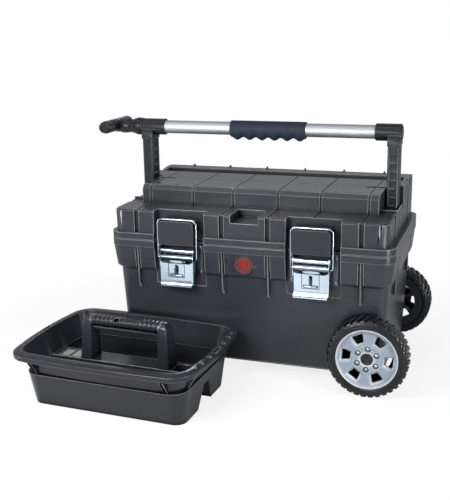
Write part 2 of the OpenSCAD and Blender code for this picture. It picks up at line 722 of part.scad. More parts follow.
// Moulded catch on the lid that the bail closes over
catch_screw_x = 24;
catch_screw_z = catch_top - 9;
catch_corner = 7.4;
module catch_holes(s, y0, y1) {
    for (m = [-1, 1]) translate([s * latch_reach + m * catch_screw_x, 0, catch_screw_z])
        rod_y(1.85, y0, y1);
}
module catch(s) {
    h = catch_width / 2;
    color(charcoal) in_case() difference() {
        translate([s * latch_reach, 0, 0]) along_x(-h, h) polygon([[-catch_front, catch_bottom],
            [3 - catch_front, catch_bottom], [3 - catch_front, catch_top - 3],
                [-lid_pocket - 3, catch_top - 3],
            [-lid_pocket - 3, catch_top - catch_hook], [-lid_pocket, catch_top - catch_hook], [-lid_pocket, catch_top],
            [-catch_front, catch_top]]);
        catch_holes(s, -lid_pocket - 4, 1 - lid_pocket);
        // Corners cut off inside the bail's bends
        for (m = [-1, 1]) translate([s * latch_reach + m * h, -hd, catch_top]) rotate([0, 45, 0])
            cube([catch_corner, 3 * hd, catch_corner], center = true);
    }
}
module catch_left() { catch(-1); }
module catch_right() { catch(1); }
module catch_screws() {
    color(alloy) in_case() for (s = [-1, 1], m = [-1, 1])
        translate([s * latch_reach + m * catch_screw_x, 0, catch_screw_z]) {
            rod_y(1.8, -lid_pocket - 4, 5 - lid_pocket);
            rod_y(3.6, -lid_pocket - 5, -lid_pocket - 3);
        }
}

// Plastic guides that the arms slide in
guide_x = [arm_reach - arm_thick / 2 - 3, room_x - 0.3];
guide_half = arm_width / 2 + 4;
module arm_section(g) {
    translate([arm_reach, -bar_forward]) plate(arm_thick + 2 * g, arm_width + 2 * g, 4);
}
module arm_guides() {
    color(coal) in_case() for (s = [0, 1]) mirror([s, 0, 0]) difference() {
        block([guide_x[0], -bar_forward - guide_half, arm_low + 0.5],
            [guide_x[1], guide_half - bar_forward, well_floor]);
        translate([0, 0, arm_low]) linear_extrude(well_floor - arm_low + 1) arm_section(0.3);
    }
}
// Arm with a sunk channel and cross ribs on its inner face; the right arm has ribs in front too
rib_pitch = 17.5;
channel_low = arm_low + 14;
channel_high = bar_height - collar_r - 8;
module arm(front_ribs) {
    inner = arm_reach - arm_thick / 2;
    front = -bar_forward - arm_width / 2;
    color(charcoal) in_case() mirror([front_ribs ? 0 : 1, 0, 0]) difference() {
        translate([0, 0, arm_low]) linear_extrude(arm_top - arm_low) arm_section(0);
        for (z = [channel_low : rib_pitch : channel_high - rib_pitch])
            block([inner - 1, front + 6, z], [inner + 3, arm_width / 2 - 6 - bar_forward,
                z + rib_pitch - 3]);
        block([inner - 1, front + 6, channel_low],
            [inner + 2, arm_width / 2 - 6 - bar_forward, channel_high]);
        if (front_ribs) for (z = [ledge_height + 6 : rib_pitch : channel_high - rib_pitch])
            block([inner + 4, front - 1, z], [inner + arm_thick - 4, front + 1.6, z + rib_pitch - 3]);
        collar_hole(2 + run / 2);
    }
}
module arm_left() { arm(false); }
module arm_right() { arm(true); }
// Cross screw from behind that holds a collar to its arm
saddle_drop = 8;
screw_z = bar_height - collar_r - saddle_drop / 2;
saddle_wall = 1;
saddle_back = arm_width / 2 + saddle_wall - bar_forward;
module collar_hole(r) { translate([arm_reach, 0, screw_z]) rod_y(r, saddle_back - 10, saddle_back + 1); }
// Stop plate under each arm that keeps the handle in its guides
module arm_stops() {
    color(coal) in_case() for (s = [0, 1]) mirror([s, 0, 0])
        block([arm_reach - arm_thick / 2 - 3, -bar_forward - arm_width / 2 - 3, arm_low - 4],
            [arm_reach + arm_thick / 2, arm_width / 2 + 3 - bar_forward, arm_low]);
}
// Tee collar between arm and crossbar
module collar(s) {
    saddle_x = arm_thick / 2 + saddle_wall;
    saddle_y = arm_width / 2 + saddle_wall;
    color(coal) in_case() mirror([s, 0, 0]) difference() {
        union() {
            translate([0, -bar_forward, bar_height]) rod_x(collar_r, collar_out - collar_length,
                collar_out);
            translate([arm_reach, -bar_forward, bar_height]) hull() {
                block([-saddle_x, -saddle_y, -collar_r - saddle_drop], [saddle_x, saddle_y, 4 - collar_r]);
                block([-saddle_x, 8 - collar_r, -collar_r], [saddle_x, collar_r - 8, 9]);
            }
        }
        translate([0, -bar_forward, bar_height]) rod_x(bar_r + run / 2, collar_out - collar_length - 1, hl);
        translate([0, 0, arm_low]) linear_extrude(arm_top - arm_low) arm_section(run / 2);
        collar_hole(2 + run / 2);
    }
}
module collar_left() { collar(1); }
module collar_right() { collar(0); }
module collar_screws() {
    color(alloy) in_case() for (s = [0, 1]) mirror([s, 0, 0]) translate([arm_reach, 0, screw_z]) {
        rod_y(2, saddle_back - 9, saddle_back + 1);
        rod_y(3.6, saddle_back, saddle_back + 2);
    }
}
module on_bar() { in_case() translate([0, -bar_forward, bar_height]) children(); }
module crossbar() {
    color(alloy) on_bar() difference() {
        rod_x(bar_r, bar_left, bar_right);
        rod_x(bar_in, bar_left - 1, bar_right + 1);
    }
}
// Rubber grip: round on top, with finger waves below
grip_shift = 3.5;
grip_room = bar_diameter + 2;
module grip() {
    h = grip_length / 2;
    low = bar_r + 10;
    color(navy) on_bar() translate([grip_shift, 0, 0]) difference() {
        intersection() {
            along_x(-h, h) hull() {
                circle(bar_r + 3, $fn = 64);
                translate([0, -low + 12]) circle(12, $fn = 64);
            }
            along_y(grip_room) polygon(concat([[-h, grip_room]],
                [for (i = [0 : 72]) [-h + i * grip_length / 72,
                    3 - low - 3 * cos(360 * (i * finger_waves / 72 - 0.5))]],
                [[h, grip_room]]));
        }
        rod_x(bar_r + run / 2, -h - 1, h + 1);
    }
}
module end_cap() {
    color(coal) on_bar() {
        rod_x(bar_in - run, bar_right - 14, bar_right);
        rod_x(bar_r - 0.5, bar_right, collar_out + 1.5);
    }
}
// Lock collar with a round belly and a groove next to the tee
module lock_collar() {
    belly = lock_diameter / 2;
    color(coal) on_bar() difference() {
        rotate([0, 90, 0]) rotate_extrude($fn = 96) polygon([[0, lock_left], [belly - 2, lock_left],
            [belly, lock_left + 4], [belly, lock_left + 12], [belly - 1.4, lock_left + 13.5],
            [belly - 1.4, lock_left + 15], [belly - 0.6, lock_left + 16], [belly - 1.6, -collar_out],
            [0, -collar_out]]);
        rod_x(bar_r + run / 2, bar_left, 0);
        rod_x(tow_r + 0.15, lock_left - 1, 0);
    }
}

// Tow grip: tube that slides in the crossbar, stem, cross grip, caps and the bush inside
tow_r = tow_tube_diameter / 2;
tow_lift = 2;
tow_inner_end = 90;
module tow_tube() {
    color(alloy) on_bar() difference() {
        rod_x(tow_r, -tow_reach + 32, tow_inner_end);
        rod_x(tow_r - 2, -tow_reach + 31, tow_inner_end + 1);
    }
}
module tow_bush() {
    color(coal) on_bar() {
        rod_x(bar_in - 0.1, tow_inner_end, tow_inner_end + 12);
        rod_x(tow_r - 2 - run / 2, tow_inner_end - 14, tow_inner_end);
    }
}
module tow_stem() {
    color(coal) on_bar() difference() {
        rotate([0, 90, 0]) rotate_extrude($fn = 64) polygon([[0, -tow_reach - 1], [14, -tow_reach - 1],
            [14, -tow_reach + 14], [15.5, -tow_reach + 16], [15.5, -tow_reach + 30],
            [14.2, -tow_reach + 34], [16.8, stem_in - 1], [16.8, stem_in], [0, stem_in]]);
        rod_x(tow_r + run / 2, -tow_reach + 32, 0);
    }
}
tow_y = [-68, 57];
module tow_grip() {
    color(coal) on_bar() difference() {
        union() {
            translate([-tow_reach, 0, tow_lift]) rotate([-90, 0, 0]) rotate_extrude($fn = 64)
                polygon(concat(
                [[0, tow_y[0] + 3 + bar_forward]],
                [for (i = [0 : 4]) each [[tow_diameter / 2 - (i == 0 ? 1 : 0),
                    tow_y[0] + 3 + bar_forward + i * 7],
                    [tow_diameter / 2, tow_y[0] + 8 + bar_forward + i * 7],
                    [tow_diameter / 2 - 1.2, tow_y[0] + 9 + bar_forward + i * 7]]],
                [for (i = [4 : -1 : 0]) each [[tow_diameter / 2 - 1.2, tow_y[1] - 9 + bar_forward - i * 7],
                    [tow_diameter / 2, tow_y[1] - 8 + bar_forward - i * 7],
                    [tow_diameter / 2 - (i == 0 ? 1 : 0), tow_y[1] - 3 + bar_forward - i * 7]]],
                [[0, tow_y[1] - 3 + bar_forward]]));
        }
        rod_x(14 + run / 2, -tow_reach - 1, 0);
    }
}
module tow_caps() {
    color(charcoal) on_bar() translate([-tow_reach, bar_forward, tow_lift]) {
        rod_y(tow_diameter / 2 - 2, tow_y[0], tow_y[0] + 3);
        rod_y(tow_diameter / 2 - 2, tow_y[1] - 3, tow_y[1]);
    }
}

// Release button in its slot, with a tip that reaches into the arm's channel
module release_button(s) {
    color(coal) in_case() mirror([s, 0, 0]) translate([0, -bar_forward, 0]) difference() {
        union() {
            block([slot_x[0] + 7, 0.3 - slot_half, slot_floor + 0.3],
                [slot_x[1] - 4, slot_half - 0.3, platform_height - 2]);
            block([slot_x[1] - 5, 1 - slot_half, tip_low],
                [arm_reach - arm_thick / 2 + 1.4, slot_half - 1, tip_high]);
        }
        for (x = [slot_x[0] + 12 : 5 : slot_x[1] - 10])
            block([x, -slot_half, platform_height - 3], [x + 2, slot_half, platform_height]);
    }
}
module release_button_left() { release_button(1); }
module release_button_right() { release_button(0); }

// Wheels, drawn with their inner face at zero and the outer face upwards
module at_wheel(s) {
    in_case() mirror([0, s, 0]) translate([axle_reach, -wheel_in, axle_z]) rotate([90, 0, 0]) children();
}
step_turn = 360 / tread_blocks;
module tyre(s) {
    w = tyre_width;
    color(coal) at_wheel(s) {
        rotate_extrude($fn = 120) polygon([[rim_r, 3], [rim_r + 5, 0.5], [wheel_r - 7, 0.5],
            [wheel_r - 4, 5],
            [wheel_r - 4, w - 5], [wheel_r - 7, w], [rim_r + 5, w], [rim_r, w - 3]]);
        for (i = [0 : tread_blocks - 1], side = [0, 1])
            rotate([0, 0, -90 + (i + side / 2) * step_turn - 4]) rotate_extrude(angle = 8, $fn = 120)
                polygon(side == 0 ? [[wheel_r - 5, 2], [wheel_r - 2, 2], [wheel_r, 5], [wheel_r, 21],
                    [wheel_r - 5, 21]]
                    : [[wheel_r - 5, w - 2], [wheel_r - 2, w - 2], [wheel_r, w - 5], [wheel_r, 23],
                        [wheel_r - 5, 23]]);
    }
}
module front_tyre() { tyre(0); }
module rear_tyre() { tyre(1); }
bolt_circle = 20.5;
disc_z = [tyre_width - 13, tyre_width - 4];
seat_z = tyre_width - 6.5;
hub_bore = axle_r + 2;
module rim(s) {
    color(rim_grey) at_wheel(s) difference() {
        union() {
            rotate_extrude($fn = 120) polygon([[rim_r - 4.2, 2.5], [rim_r, 2.5], [rim_r, tyre_width - 2.5],
                [rim_r - 1, tyre_width - 0.5], [rim_r - 4.2, tyre_width - 0.5]]);
            translate([0, 0, disc_z[0]]) cylinder(r = rim_r - 4, h = disc_z[1] - disc_z[0], $fn = 120);
            cylinder(r = 17, h = disc_z[0] + 1, $fn = 96);
            for (a = [25 : 60 : 325]) rotate([0, 0, a]) block([15, -2, 12], [rim_r - 4, 2, disc_z[0] + 1]);
        }
        for (a = [-5 : 60 : 295]) rotate([0, 0, a]) translate([0, 0, disc_z[0] - 1]) linear_extrude(12)
            polygon([[29, -8], [50, -11], [50, 11], [29, 8]]);
        translate([0, 0, -1]) cylinder(r = hub_bore + run / 2, h = tyre_width, $fn = 96);
        translate([0, 0, seat_z]) cylinder(r = axle_r + 7, h = tyre_width, $fn = 96);
        bolt_spots() translate([0, 0, disc_z[0] + 2]) cylinder(r = 2.5 + run / 2, h = tyre_width, $fn = 32);
    }
}
module front_rim() { rim(0); }
module rear_rim() { rim(1); }
module bolt_spots() {
    for (a = [26 : 60 : 326]) rotate([0, 0, a]) translate([bolt_circle, 0, 0]) children();
}
module hub_cap(s) {
    color(coal) at_wheel(s) difference() {
        rotate_extrude($fn = 96) polygon([[0, seat_z], [axle_r + 6.95, seat_z],
            [axle_r + 6.95, tyre_width - 3],
            [axle_r + 4.5, tyre_width], [0, tyre_width]]);
        translate([0, 0, seat_z - 1]) cylinder(r = axle_r + 5.3, h = tyre_width - 1 - seat_z, $fn = 96);
    }
}
module front_hub_cap() { hub_cap(0); }
module rear_hub_cap() { hub_cap(1); }
module bolts(s) {
    color(alloy) at_wheel(s) bolt_spots() {
        translate([0, 0, disc_z[0] + 2.5]) cylinder(r = 2.5, h = disc_z[1] - disc_z[0] - 2, $fn = 32);
        translate([0, 0, disc_z[1]]) cylinder(r = 5, h = 2.6, $fn = 6);
    }
}
module front_bolts() { bolts(0); }
module rear_bolts() { bolts(1); }
module bush(s) {
    color(coal) at_wheel(s) difference() {
        cylinder(r = hub_bore, h = seat_z, $fn = 96);
        translate([0, 0, -1]) cylinder(r = axle_r + run, h = tyre_width, $fn = 96);
    }
}
module front_bush() { bush(0); }
module rear_bush() { bush(1); }

// Tote tray: tapered foot with a ledge at its top, a band drawn in under the rim, a bowed rim
// with a skirt, two troughs with a ridge between them, and a notch under the ridge
ledge_out = 8;
ledge_front = 18;
band_in = 3;
rim_drop = 12;
module tray_foot(g) {
    hull() {
        slab(foot_length - 2 * g, foot_depth - 2 * g, 22 - g, g, EPS);
        slab(foot_length + 2 * ledge_out - 2 * g, foot_depth + 2 * ledge_front - 2 * g, 34 - g,
            tray_step - g - EPS, EPS);
    }
}
module tray_slice(x, y, r, bx, by, z) {
    translate([0, 0, z]) linear_extrude(EPS) polygon(bowed(x, y, r, bx, by));
}
module tray_band(g, z0, z1) {
    hull() {
        tray_slice(foot_length / 2 + ledge_out - band_in - g, foot_depth / 2 + ledge_front - band_in - g,
            34 - band_in - g, bow_end / 2, bow_side / 2, z0);
        tray_slice(tray_hl - lip_end + tray_wall - g, tray_hd - lip_side + tray_wall - g,
            tray_r - lip_end + tray_wall - g, bow_end, bow_side, z1);
    }
}
module tray_rim() {
    difference() {
        hull() {
            translate([0, 0, tray_height - rim_drop]) linear_extrude(rim_drop - 3) polygon(tray_outline);
            tray_slice(tray_hl - 6, tray_hd - 8, tray_r - 6, bow_end, bow_side, tray_height - EPS);
        }
        translate([0, 0, tray_height - rim_drop - 1]) linear_extrude(rim_drop - 4)
            polygon(bowed(tray_hl - 3, tray_hd - 3, tray_r - 3, bow_end, bow_side));
    }
}
module ridge_side(g, z0) {
    top = ridge_top / 2 - g;
    polygon([[-top - 12, z0], [-top - 2, 0.6 * tray_ridge], [-top, tray_ridge - g],
        [top, tray_ridge - g], [top + 2, 0.6 * tray_ridge], [top + 12, z0]]);
}
// Thin rib between the band and the skirt, drawn at the front, down to the ledge
module gusset(outer, top, foot) {
    polygon([[-outer, tray_height - rim_drop + 1], [-outer, tray_height - 4], [-top, tray_height - 4],
        [4 - foot, tray_step + 1], [1.5 - foot, tray_step + 1]]);
}
end_pocket = [100, 146];
tool_pockets = [-150, -124];
tool_pocket = 22;
module tray() {
    tip_x = foot_length / 2 - 12;
    color(charcoal) in_tray() difference() {
        union() {
            difference() {
                union() {
                    tray_foot(0);
                    tray_band(0, tray_step - EPS, tray_height - 4);
                    tray_rim();
                }
                tray_foot(tray_wall);
                tray_band(tray_wall, tray_step - tray_wall - 2 * EPS, tray_height + 1);
            }
            intersection() {
                union() {
                    tray_foot(0.5);
                    tray_band(0.5, tray_step - 1, tray_height - 4);
                }
                along_x(-tray_hl, tray_hl) ridge_side(0, 1);
            }
            for (sx = [-1, 1], sy = [0, 1], x = [-3, 3]) mirror([0, sy, 0])
                along_x(sx * (foot_length / 2 - 24) + x - 0.8, sx * (foot_length / 2 - 24) + x + 0.8)
                    gusset(tray_hd - 6, tray_hd - 22, foot_depth / 2 + ledge_front);
            for (sx = [0, 1], sy = [-1, 1]) mirror([sx, 0, 0])
                translate([0, sy * (foot_depth / 2 - 16), 0]) mirror([1, 0, 0]) rotate([90, 0, 0])
                    translate([0, 0, -0.8]) linear_extrude(1.6)
                        gusset(tray_hl - 7.5, tray_hl - 19, foot_length / 2 + ledge_out);
        }
        // Notch below the ridge, through both ends, and the hollow of the ridge behind it
        along_x(-tray_hl, tray_hl) polygon([[-32, -1], [-12, 0.68 * tray_ridge],
            [12, 0.68 * tray_ridge], [32, -1]]);
        along_x(-tip_x, end_pocket[0] - tray_wall) ridge_side(tray_wall, -1);
        // Two small tool pockets in the ridge's left end and a deeper one in its right end
        for (x = tool_pockets) block([x, -16, tray_ridge - 2], [x + tool_pocket, 16, tray_ridge + 1]);
        block([end_pocket[0], -17, 0.68 * tray_ridge + tray_wall], [end_pocket[1], 15, tray_ridge + 1]);
        tray_holes();
    }
}
// Round holes and a slot in both end lips, placed along the bow
module tray_holes() {
    bow_half = tray_hd - bow_side - tray_r;
    for (s = [-1, 1]) {
        for (h = [[0.301, 2], [0.225, 3.4], [0.119, 3.4]], m = [-1, 1]) {
            y = h[0] * tray_depth;
            translate([s * (tray_hl - 7.5 - bow_end * pow(min(y / bow_half, 1), 2)), m * y, 0])
                rod_z(h[1], tray_height - 7, tray_height + 1);
        }
        translate([s * (tray_hl - 7.5), 0, 0]) {
            block([-3, -13, tray_height - 7], [3, 13, tray_height + 1]);
            for (y = [-13, 13]) translate([0, y, 0]) rod_z(3, tray_height - 7, tray_height + 1);
        }
    }
}
// Hollow arch over the ridge, wider at its feet, with finger ribs along the bar
handle_foot = 96;
handle_top = 90;
window_foot = 73;
window_top = tray_handle_height - 32;
module arch(g) {
    polygon([[g - handle_foot, tray_ridge], [g - handle_top, tray_handle_height - 9],
        [g + 8 - handle_top, tray_handle_height - g], [handle_top - g - 8, tray_handle_height - g],
        [handle_top - g, tray_handle_height - 9], [handle_foot - g, tray_ridge]]);
}
module arch_window(g) {
    polygon([[-window_foot - g, tray_ridge - 1], [2 - window_foot - g, window_top - g],
        [window_foot - 2 + g, window_top - g], [window_foot + g, tray_ridge - 1]]);
}
module along_y(h) { rotate([90, 0, 0]) translate([0, 0, -h]) linear_extrude(2 * h) children(); }
module handle_side(g) {
    polygon([[g - ridge_top / 2, tray_ridge - 1], [g - 16.5, tray_handle_height - 5],
        [g - 11, tray_handle_height + 1],
        [11 - g, tray_handle_height + 1], [16.5 - g, tray_handle_height - 5],
            [ridge_top / 2 - g, tray_ridge - 1]]);
}
module tray_handle() {
    color(charcoal) in_tray() difference() {
        intersection() {
            along_y(ridge_top) difference() {
                arch(0);
                arch_window(0);
            }
            along_x(-handle_foot, handle_foot) handle_side(0);
        }
        intersection() {
            along_y(ridge_top) difference() {
                translate([0, -0.1]) arch(3);
                arch_window(3);
            }
            along_x(-handle_foot, handle_foot) handle_side(3);
        }
        // Finger grooves near both ends of the bar
        for (s = [-1, 1], i = [0 : 5]) translate([s * (handle_top - 16 - 7 * i), 0, tray_handle_height])
            rotate([0, 45, 0])
            cube([1.8, ridge_top - 4, 1.8], center = true);
    }
}

tub();
feet();
foot_pads();
axle();
axle_washers();
badge();
hinge_pins();
latch_base_left();
latch_base_right();
latch_pin_left();
latch_pin_right();
latch_rivets();
lid();
lid_seal();
catch_left();
catch_right();
catch_screws();
arm_guides();
arm_left();
arm_right();
collar_left();
collar_right();
crossbar();
grip();
end_cap();
lock_collar();
collar_screws();
arm_stops();
tow_tube();
tow_stem();
tow_grip();
tow_caps();
tow_bush();
latch_lever_left();
latch_lever_right();
latch_bail_left();
latch_bail_right();
release_button_left();
release_button_right();
front_tyre();
front_rim();
front_hub_cap();
front_bolts();
front_bush();
rear_tyre();
rear_rim();
rear_hub_cap();
rear_bolts();
rear_bush();
tray();
tray_handle();
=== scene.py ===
import math

import bmesh
import bpy
from mathutils import Matrix, Vector


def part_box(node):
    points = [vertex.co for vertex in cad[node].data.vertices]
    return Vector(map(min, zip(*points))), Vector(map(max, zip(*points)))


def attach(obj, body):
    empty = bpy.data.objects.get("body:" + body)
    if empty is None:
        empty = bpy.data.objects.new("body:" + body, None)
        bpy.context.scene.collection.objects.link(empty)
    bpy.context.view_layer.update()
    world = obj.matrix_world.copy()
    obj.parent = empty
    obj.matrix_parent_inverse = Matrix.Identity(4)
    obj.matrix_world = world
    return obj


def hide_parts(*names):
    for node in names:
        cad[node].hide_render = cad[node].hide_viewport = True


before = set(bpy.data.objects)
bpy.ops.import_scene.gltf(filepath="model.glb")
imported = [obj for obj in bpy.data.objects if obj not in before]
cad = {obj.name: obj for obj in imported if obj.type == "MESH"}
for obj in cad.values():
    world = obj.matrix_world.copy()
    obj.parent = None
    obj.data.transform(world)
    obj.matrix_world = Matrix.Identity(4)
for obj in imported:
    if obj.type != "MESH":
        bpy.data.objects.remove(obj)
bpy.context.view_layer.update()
bpy.context.scene.view_settings.view_transform = "Standard"

# View and studio. A small table studio: a pale floor that runs out into white, soft boxes above, in
# front, low in front and close to the tray, and narrow strips at the sides and behind for the edges.
tub_low, tub_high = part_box("tub")
front_to_middle = 0.174
case_middle = Vector(((tub_low.x + tub_high.x) / 2, tub_low.y + front_to_middle, tub_low.z))


def spot(x, y, z):
    """A point given in millimetres from the middle of the case's underside."""
    return case_middle + Vector((x, y, z)) / 1000


def place_camera():
    turn, tip, lean = math.radians(19.79), math.radians(14.54), math.radians(-1.15)
    ahead = Vector((-math.sin(turn) * math.cos(tip), math.cos(turn) * math.cos(tip), -math.sin(tip)))
    right = Vector((math.cos(turn), math.sin(turn), 0))
    down = ahead.cross(right)
    across = math.cos(lean) * right - math.sin(lean) * down
    up = -(math.sin(lean) * right + math.cos(lean) * down)
    lens = bpy.data.cameras.new("photo_camera")
    lens.lens = 61.623
    lens.sensor_width = 36
    lens.shift_x = 0.00844
    lens.shift_y = -0.02338
    lens.clip_end = 60
    camera = bpy.data.objects.new("photo_camera", lens)
    bpy.context.scene.collection.objects.link(camera)
    turned = Matrix((across, up, -ahead)).transposed().to_4x4()
    camera.matrix_world = Matrix.Translation(spot(513.55, -1732.76, 697.51)) @ turned
    bpy.context.scene.camera = camera


place_camera()


def soft_box(name, place, target, size, power, tint=(1, 1, 1)):
    lamp = bpy.data.lights.new(name, "AREA")
    lamp.shape = "RECTANGLE"
    lamp.size = size[0]
    lamp.size_y = size[1]
    lamp.energy = power
    lamp.color = tint
    box = bpy.data.objects.new(name, lamp)
    bpy.context.scene.collection.objects.link(box)
    aim = Vector(target) - Vector(place)
    box.matrix_world = Matrix.Translation(place) @ aim.to_track_quat("-Z", "Y").to_matrix().to_4x4()


soft_box("front_box", (-0.9, -2.5, 1.9), (0, 0.05, 0.2), (1.4, 0.8), 6)
soft_box("low_box", (-0.3, -2.4, 0.45), (-0.1, 0, 0.2), (1.0, 0.5), 9)
soft_box("near_box", (-0.2, -0.72, 0.62), (-0.16, -0.17, 0.10), (0.5, 0.2), 10)
soft_box("left_strip", (-1.6, -0.9, 0.5), (-0.2, 0, 0.2), (0.25, 1.0), 12)
soft_box("right_strip", (1.2, -0.5, 0.35), (0.27, -0.1, 0.15), (0.06, 0.8), 15)
soft_box("back_strip", (-0.5, 1.6, 1.1), (-0.05, -0.15, 0.15), (1.6, 0.15), 2)
soft_box("top_box", (-0.25, -0.6, 2.3), (0, 0.05, 0.3), (2.0, 0.8), 11)


def seen_directly(nodes, links):
    """1 for rays that the camera or a clear surface sends out, 0 for all others."""
    path = nodes.new("ShaderNodeLightPath")
    first = nodes.new("ShaderNodeMath")
    first.operation = "MAXIMUM"
    links.new(path.outputs["Is Camera Ray"], first.inputs[0])
    links.new(path.outputs["Is Transmission Ray"], first.inputs[1])
    return first.outputs[0]


def white_room():
    room = bpy.data.worlds.new("white_room")
    room.use_nodes = True
    nodes, links = room.node_tree.nodes, room.node_tree.links
    nodes.clear()
    lit = nodes.new("ShaderNodeBackground")
    lit.inputs["Color"].default_value = (0.93, 0.96, 1.0, 1)
    lit.inputs["Strength"].default_value = 0.5
    white = nodes.new("ShaderNodeBackground")
    white.inputs["Color"].default_value = (1, 1, 1, 1)
    white.inputs["Strength"].default_value = 1.0
    mix = nodes.new("ShaderNodeMixShader")
    links.new(seen_directly(nodes, links), mix.inputs[0])
    links.new(lit.outputs[0], mix.inputs[1])
    links.new(white.outputs[0], mix.inputs[2])
    out = nodes.new("ShaderNodeOutputWorld")
    links.new(mix.outputs[0], out.inputs["Surface"])
    bpy.context.scene.world = room


white_room()


def lay_floor():
    paint = bpy.data.materials.new("floor_paper")
    paint.use_nodes = True
    nodes, links = paint.node_tree.nodes, paint.node_tree.links
    nodes.clear()
    paper = nodes.new("ShaderNodeBsdfDiffuse")
    paper.inputs["Color"].default_value = (0.62, 0.62, 0.62, 1)
    glow = nodes.new("ShaderNodeEmission")
    glow.inputs["Color"].default_value = (1, 1, 1, 1)
    glow.inputs["Strength"].default_value = 1.0
    where = nodes.new("ShaderNodeTexCoord")
    away = nodes.new("ShaderNodeVectorMath")
    away.operation = "LENGTH"
    links.new(where.outputs["Object"], away.inputs[0])
    fade = nodes.new("ShaderNodeMapRange")
    fade.interpolation_type = "SMOOTHSTEP"
    fade.inputs["From Min"].default_value = 0.25
    fade.inputs["From Max"].default_value = 1.0
    fade.inputs["To Min"].default_value = 0.82
    fade.inputs["To Max"].default_value = 1.0
    links.new(away.outputs["Value"], fade.inputs["Value"])
    share = nodes.new("ShaderNodeMath")
    share.operation = "MULTIPLY"
    links.new(fade.outputs[0], share.inputs[0])
    links.new(seen_directly(nodes, links), share.inputs[1])
    mix = nodes.new("ShaderNodeMixShader")
    links.new(share.outputs[0], mix.inputs[0])
    links.new(paper.outputs[0], mix.inputs[1])
    links.new(glow.outputs[0], mix.inputs[2])
    out = nodes.new("ShaderNodeOutputMaterial")
    links.new(mix.outputs[0], out.inputs["Surface"])
    sheet = bpy.data.meshes.new("floor")
    half = 25.0
    corners = [(-half, -half, 0), (half, -half, 0), (half, half, 0), (-half, half, 0)]
    sheet.from_pydata(corners, [], [(0, 1, 2, 3)])
    sheet.materials.append(paint)
    floor = bpy.data.objects.new("floor", sheet)
    floor.location.z = -0.0002
    bpy.context.scene.collection.objects.link(floor)


lay_floor()

# Tub. One deep injection moulding in charcoal polypropylene with a fine spark-eroded grain,
# its edges rounded by the tool and painted paler as a highlight, which partly stands for wear where hands and
# floors touch them.


def ranged(nodes, links, value, **limits):
    """A value stretched between limits that are called from_min, from_max, to_min and to_max."""
    node = nodes.new("ShaderNodeMapRange")
    for limit, number in limits.items():
        node.inputs[limit.replace("_", " ").title()].default_value = number
    links.new(value, node.inputs["Value"])
    return node.outputs[0]


def room(nodes, reach, inside=False):
    """The open room within reach of a point: in front of its surface, or inside the piece behind it."""
    node = nodes.new("ShaderNodeAmbientOcclusion")
    node.inside = inside
    node.only_local = inside
    node.samples = 6
    node.inputs["Distance"].default_value = reach
    return node.outputs["AO"]


def darkened(nodes, links, colour, depth):
    node = nodes.new("ShaderNodeVectorMath")
    node.operation = "SCALE"
    links.new(colour, node.inputs[0])
    links.new(depth, node.inputs["Scale"])
    return node.outputs[0]


def product(nodes, links, first, second):
    node = nodes.new("ShaderNodeMath")
    node.operation = "MULTIPLY"
    links.new(first, node.inputs[0])
    if isinstance(second, float):
        node.inputs[1].default_value = second
    else:
        links.new(second, node.inputs[1])
    return node.outputs[0]


def noise(nodes, links, place, scale, detail):
    node = nodes.new("ShaderNodeTexNoise")
    node.inputs["Scale"].default_value = scale
    node.inputs["Detail"].default_value = detail
    links.new(place, node.inputs["Vector"])
    return node.outputs["Fac"]


def mixed(nodes, links, share, first, second):
    """A mix of two colours, each a socket or three numbers."""
    node = nodes.new("ShaderNodeMix")
    node.data_type = "RGBA"
    for entry, colour in (("A", first), ("B", second)):
        if isinstance(colour, list):
            node.inputs[entry].default_value = (*colour, 1)
        else:
            links.new(colour, node.inputs[entry])
    links.new(share, node.inputs["Factor"])
    return node.outputs["Result"]


def relieved(nodes, links, height, strength, relief, normal=None):
    node = nodes.new("ShaderNodeBump")
    node.inputs["Strength"].default_value = strength
    node.inputs["Distance"].default_value = relief
    links.new(height, node.inputs["Height"])
    if normal:
        links.new(normal, node.inputs["Normal"])
    return node.outputs[0]


def moulded(name, colour, roughness=0.29, relief=0.00006, edge=0.0022, edge_highlight_and_wear=0.5, cloud=11, gloss=0.5):
    """Moulded plastic or rubber: fine grain, faint flow clouds, painted shade in grooves and a painted
    highlight, partly wear, along outer edges.
    """
    stuff = bpy.data.materials.new(name)
    stuff.use_nodes = True
    nodes, links = stuff.node_tree.nodes, stuff.node_tree.links
    shader = nodes["Principled BSDF"]
    where = nodes.new("ShaderNodeTexCoord").outputs["Object"]
    flow = noise(nodes, links, where, cloud, 5)
    tone = ranged(nodes, links, flow, from_min=0.3, from_max=0.7)
    body = mixed(nodes, links, tone, [c * 0.88 for c in colour], [c * 1.12 for c in colour])
    # Room behind a point tells an outer edge, room in front of it an inner corner or a groove. Outer edges
    # are painted paler in patches: a painted highlight, partly wear
    near_edge = ranged(nodes, links, room(nodes, edge, inside=True), from_min=0.92, from_max=0.55, to_max=edge_highlight_and_wear)
    patches = ranged(nodes, links, tone, to_min=0.55)
    lit_and_worn_edges = product(nodes, links, near_edge, patches)
    paler = mixed(nodes, links, lit_and_worn_edges, body, [0.5 * c + 0.30 for c in colour])
    # Painted shade: the colour and the reflection are darkened in grooves and inner corners
    depth = ranged(nodes, links, room(nodes, 0.012), from_min=0.3, from_max=0.9, to_min=0.05)
    links.new(darkened(nodes, links, paler, depth), shader.inputs["Base Color"])
    links.new(product(nodes, links, depth, gloss), shader.inputs["Specular IOR Level"])
    grain = noise(nodes, links, where, 900, 2)
    rounded = nodes.new("ShaderNodeBevel")
    rounded.samples = 6
    rounded.inputs["Radius"].default_value = 0.0012
    links.new(relieved(nodes, links, grain, 0.5, relief, rounded.outputs[0]), shader.inputs["Normal"])
    shine = ranged(nodes, links, flow, to_min=roughness - 0.06, to_max=roughness + 0.08)
    links.new(shine, shader.inputs["Roughness"])
    return stuff


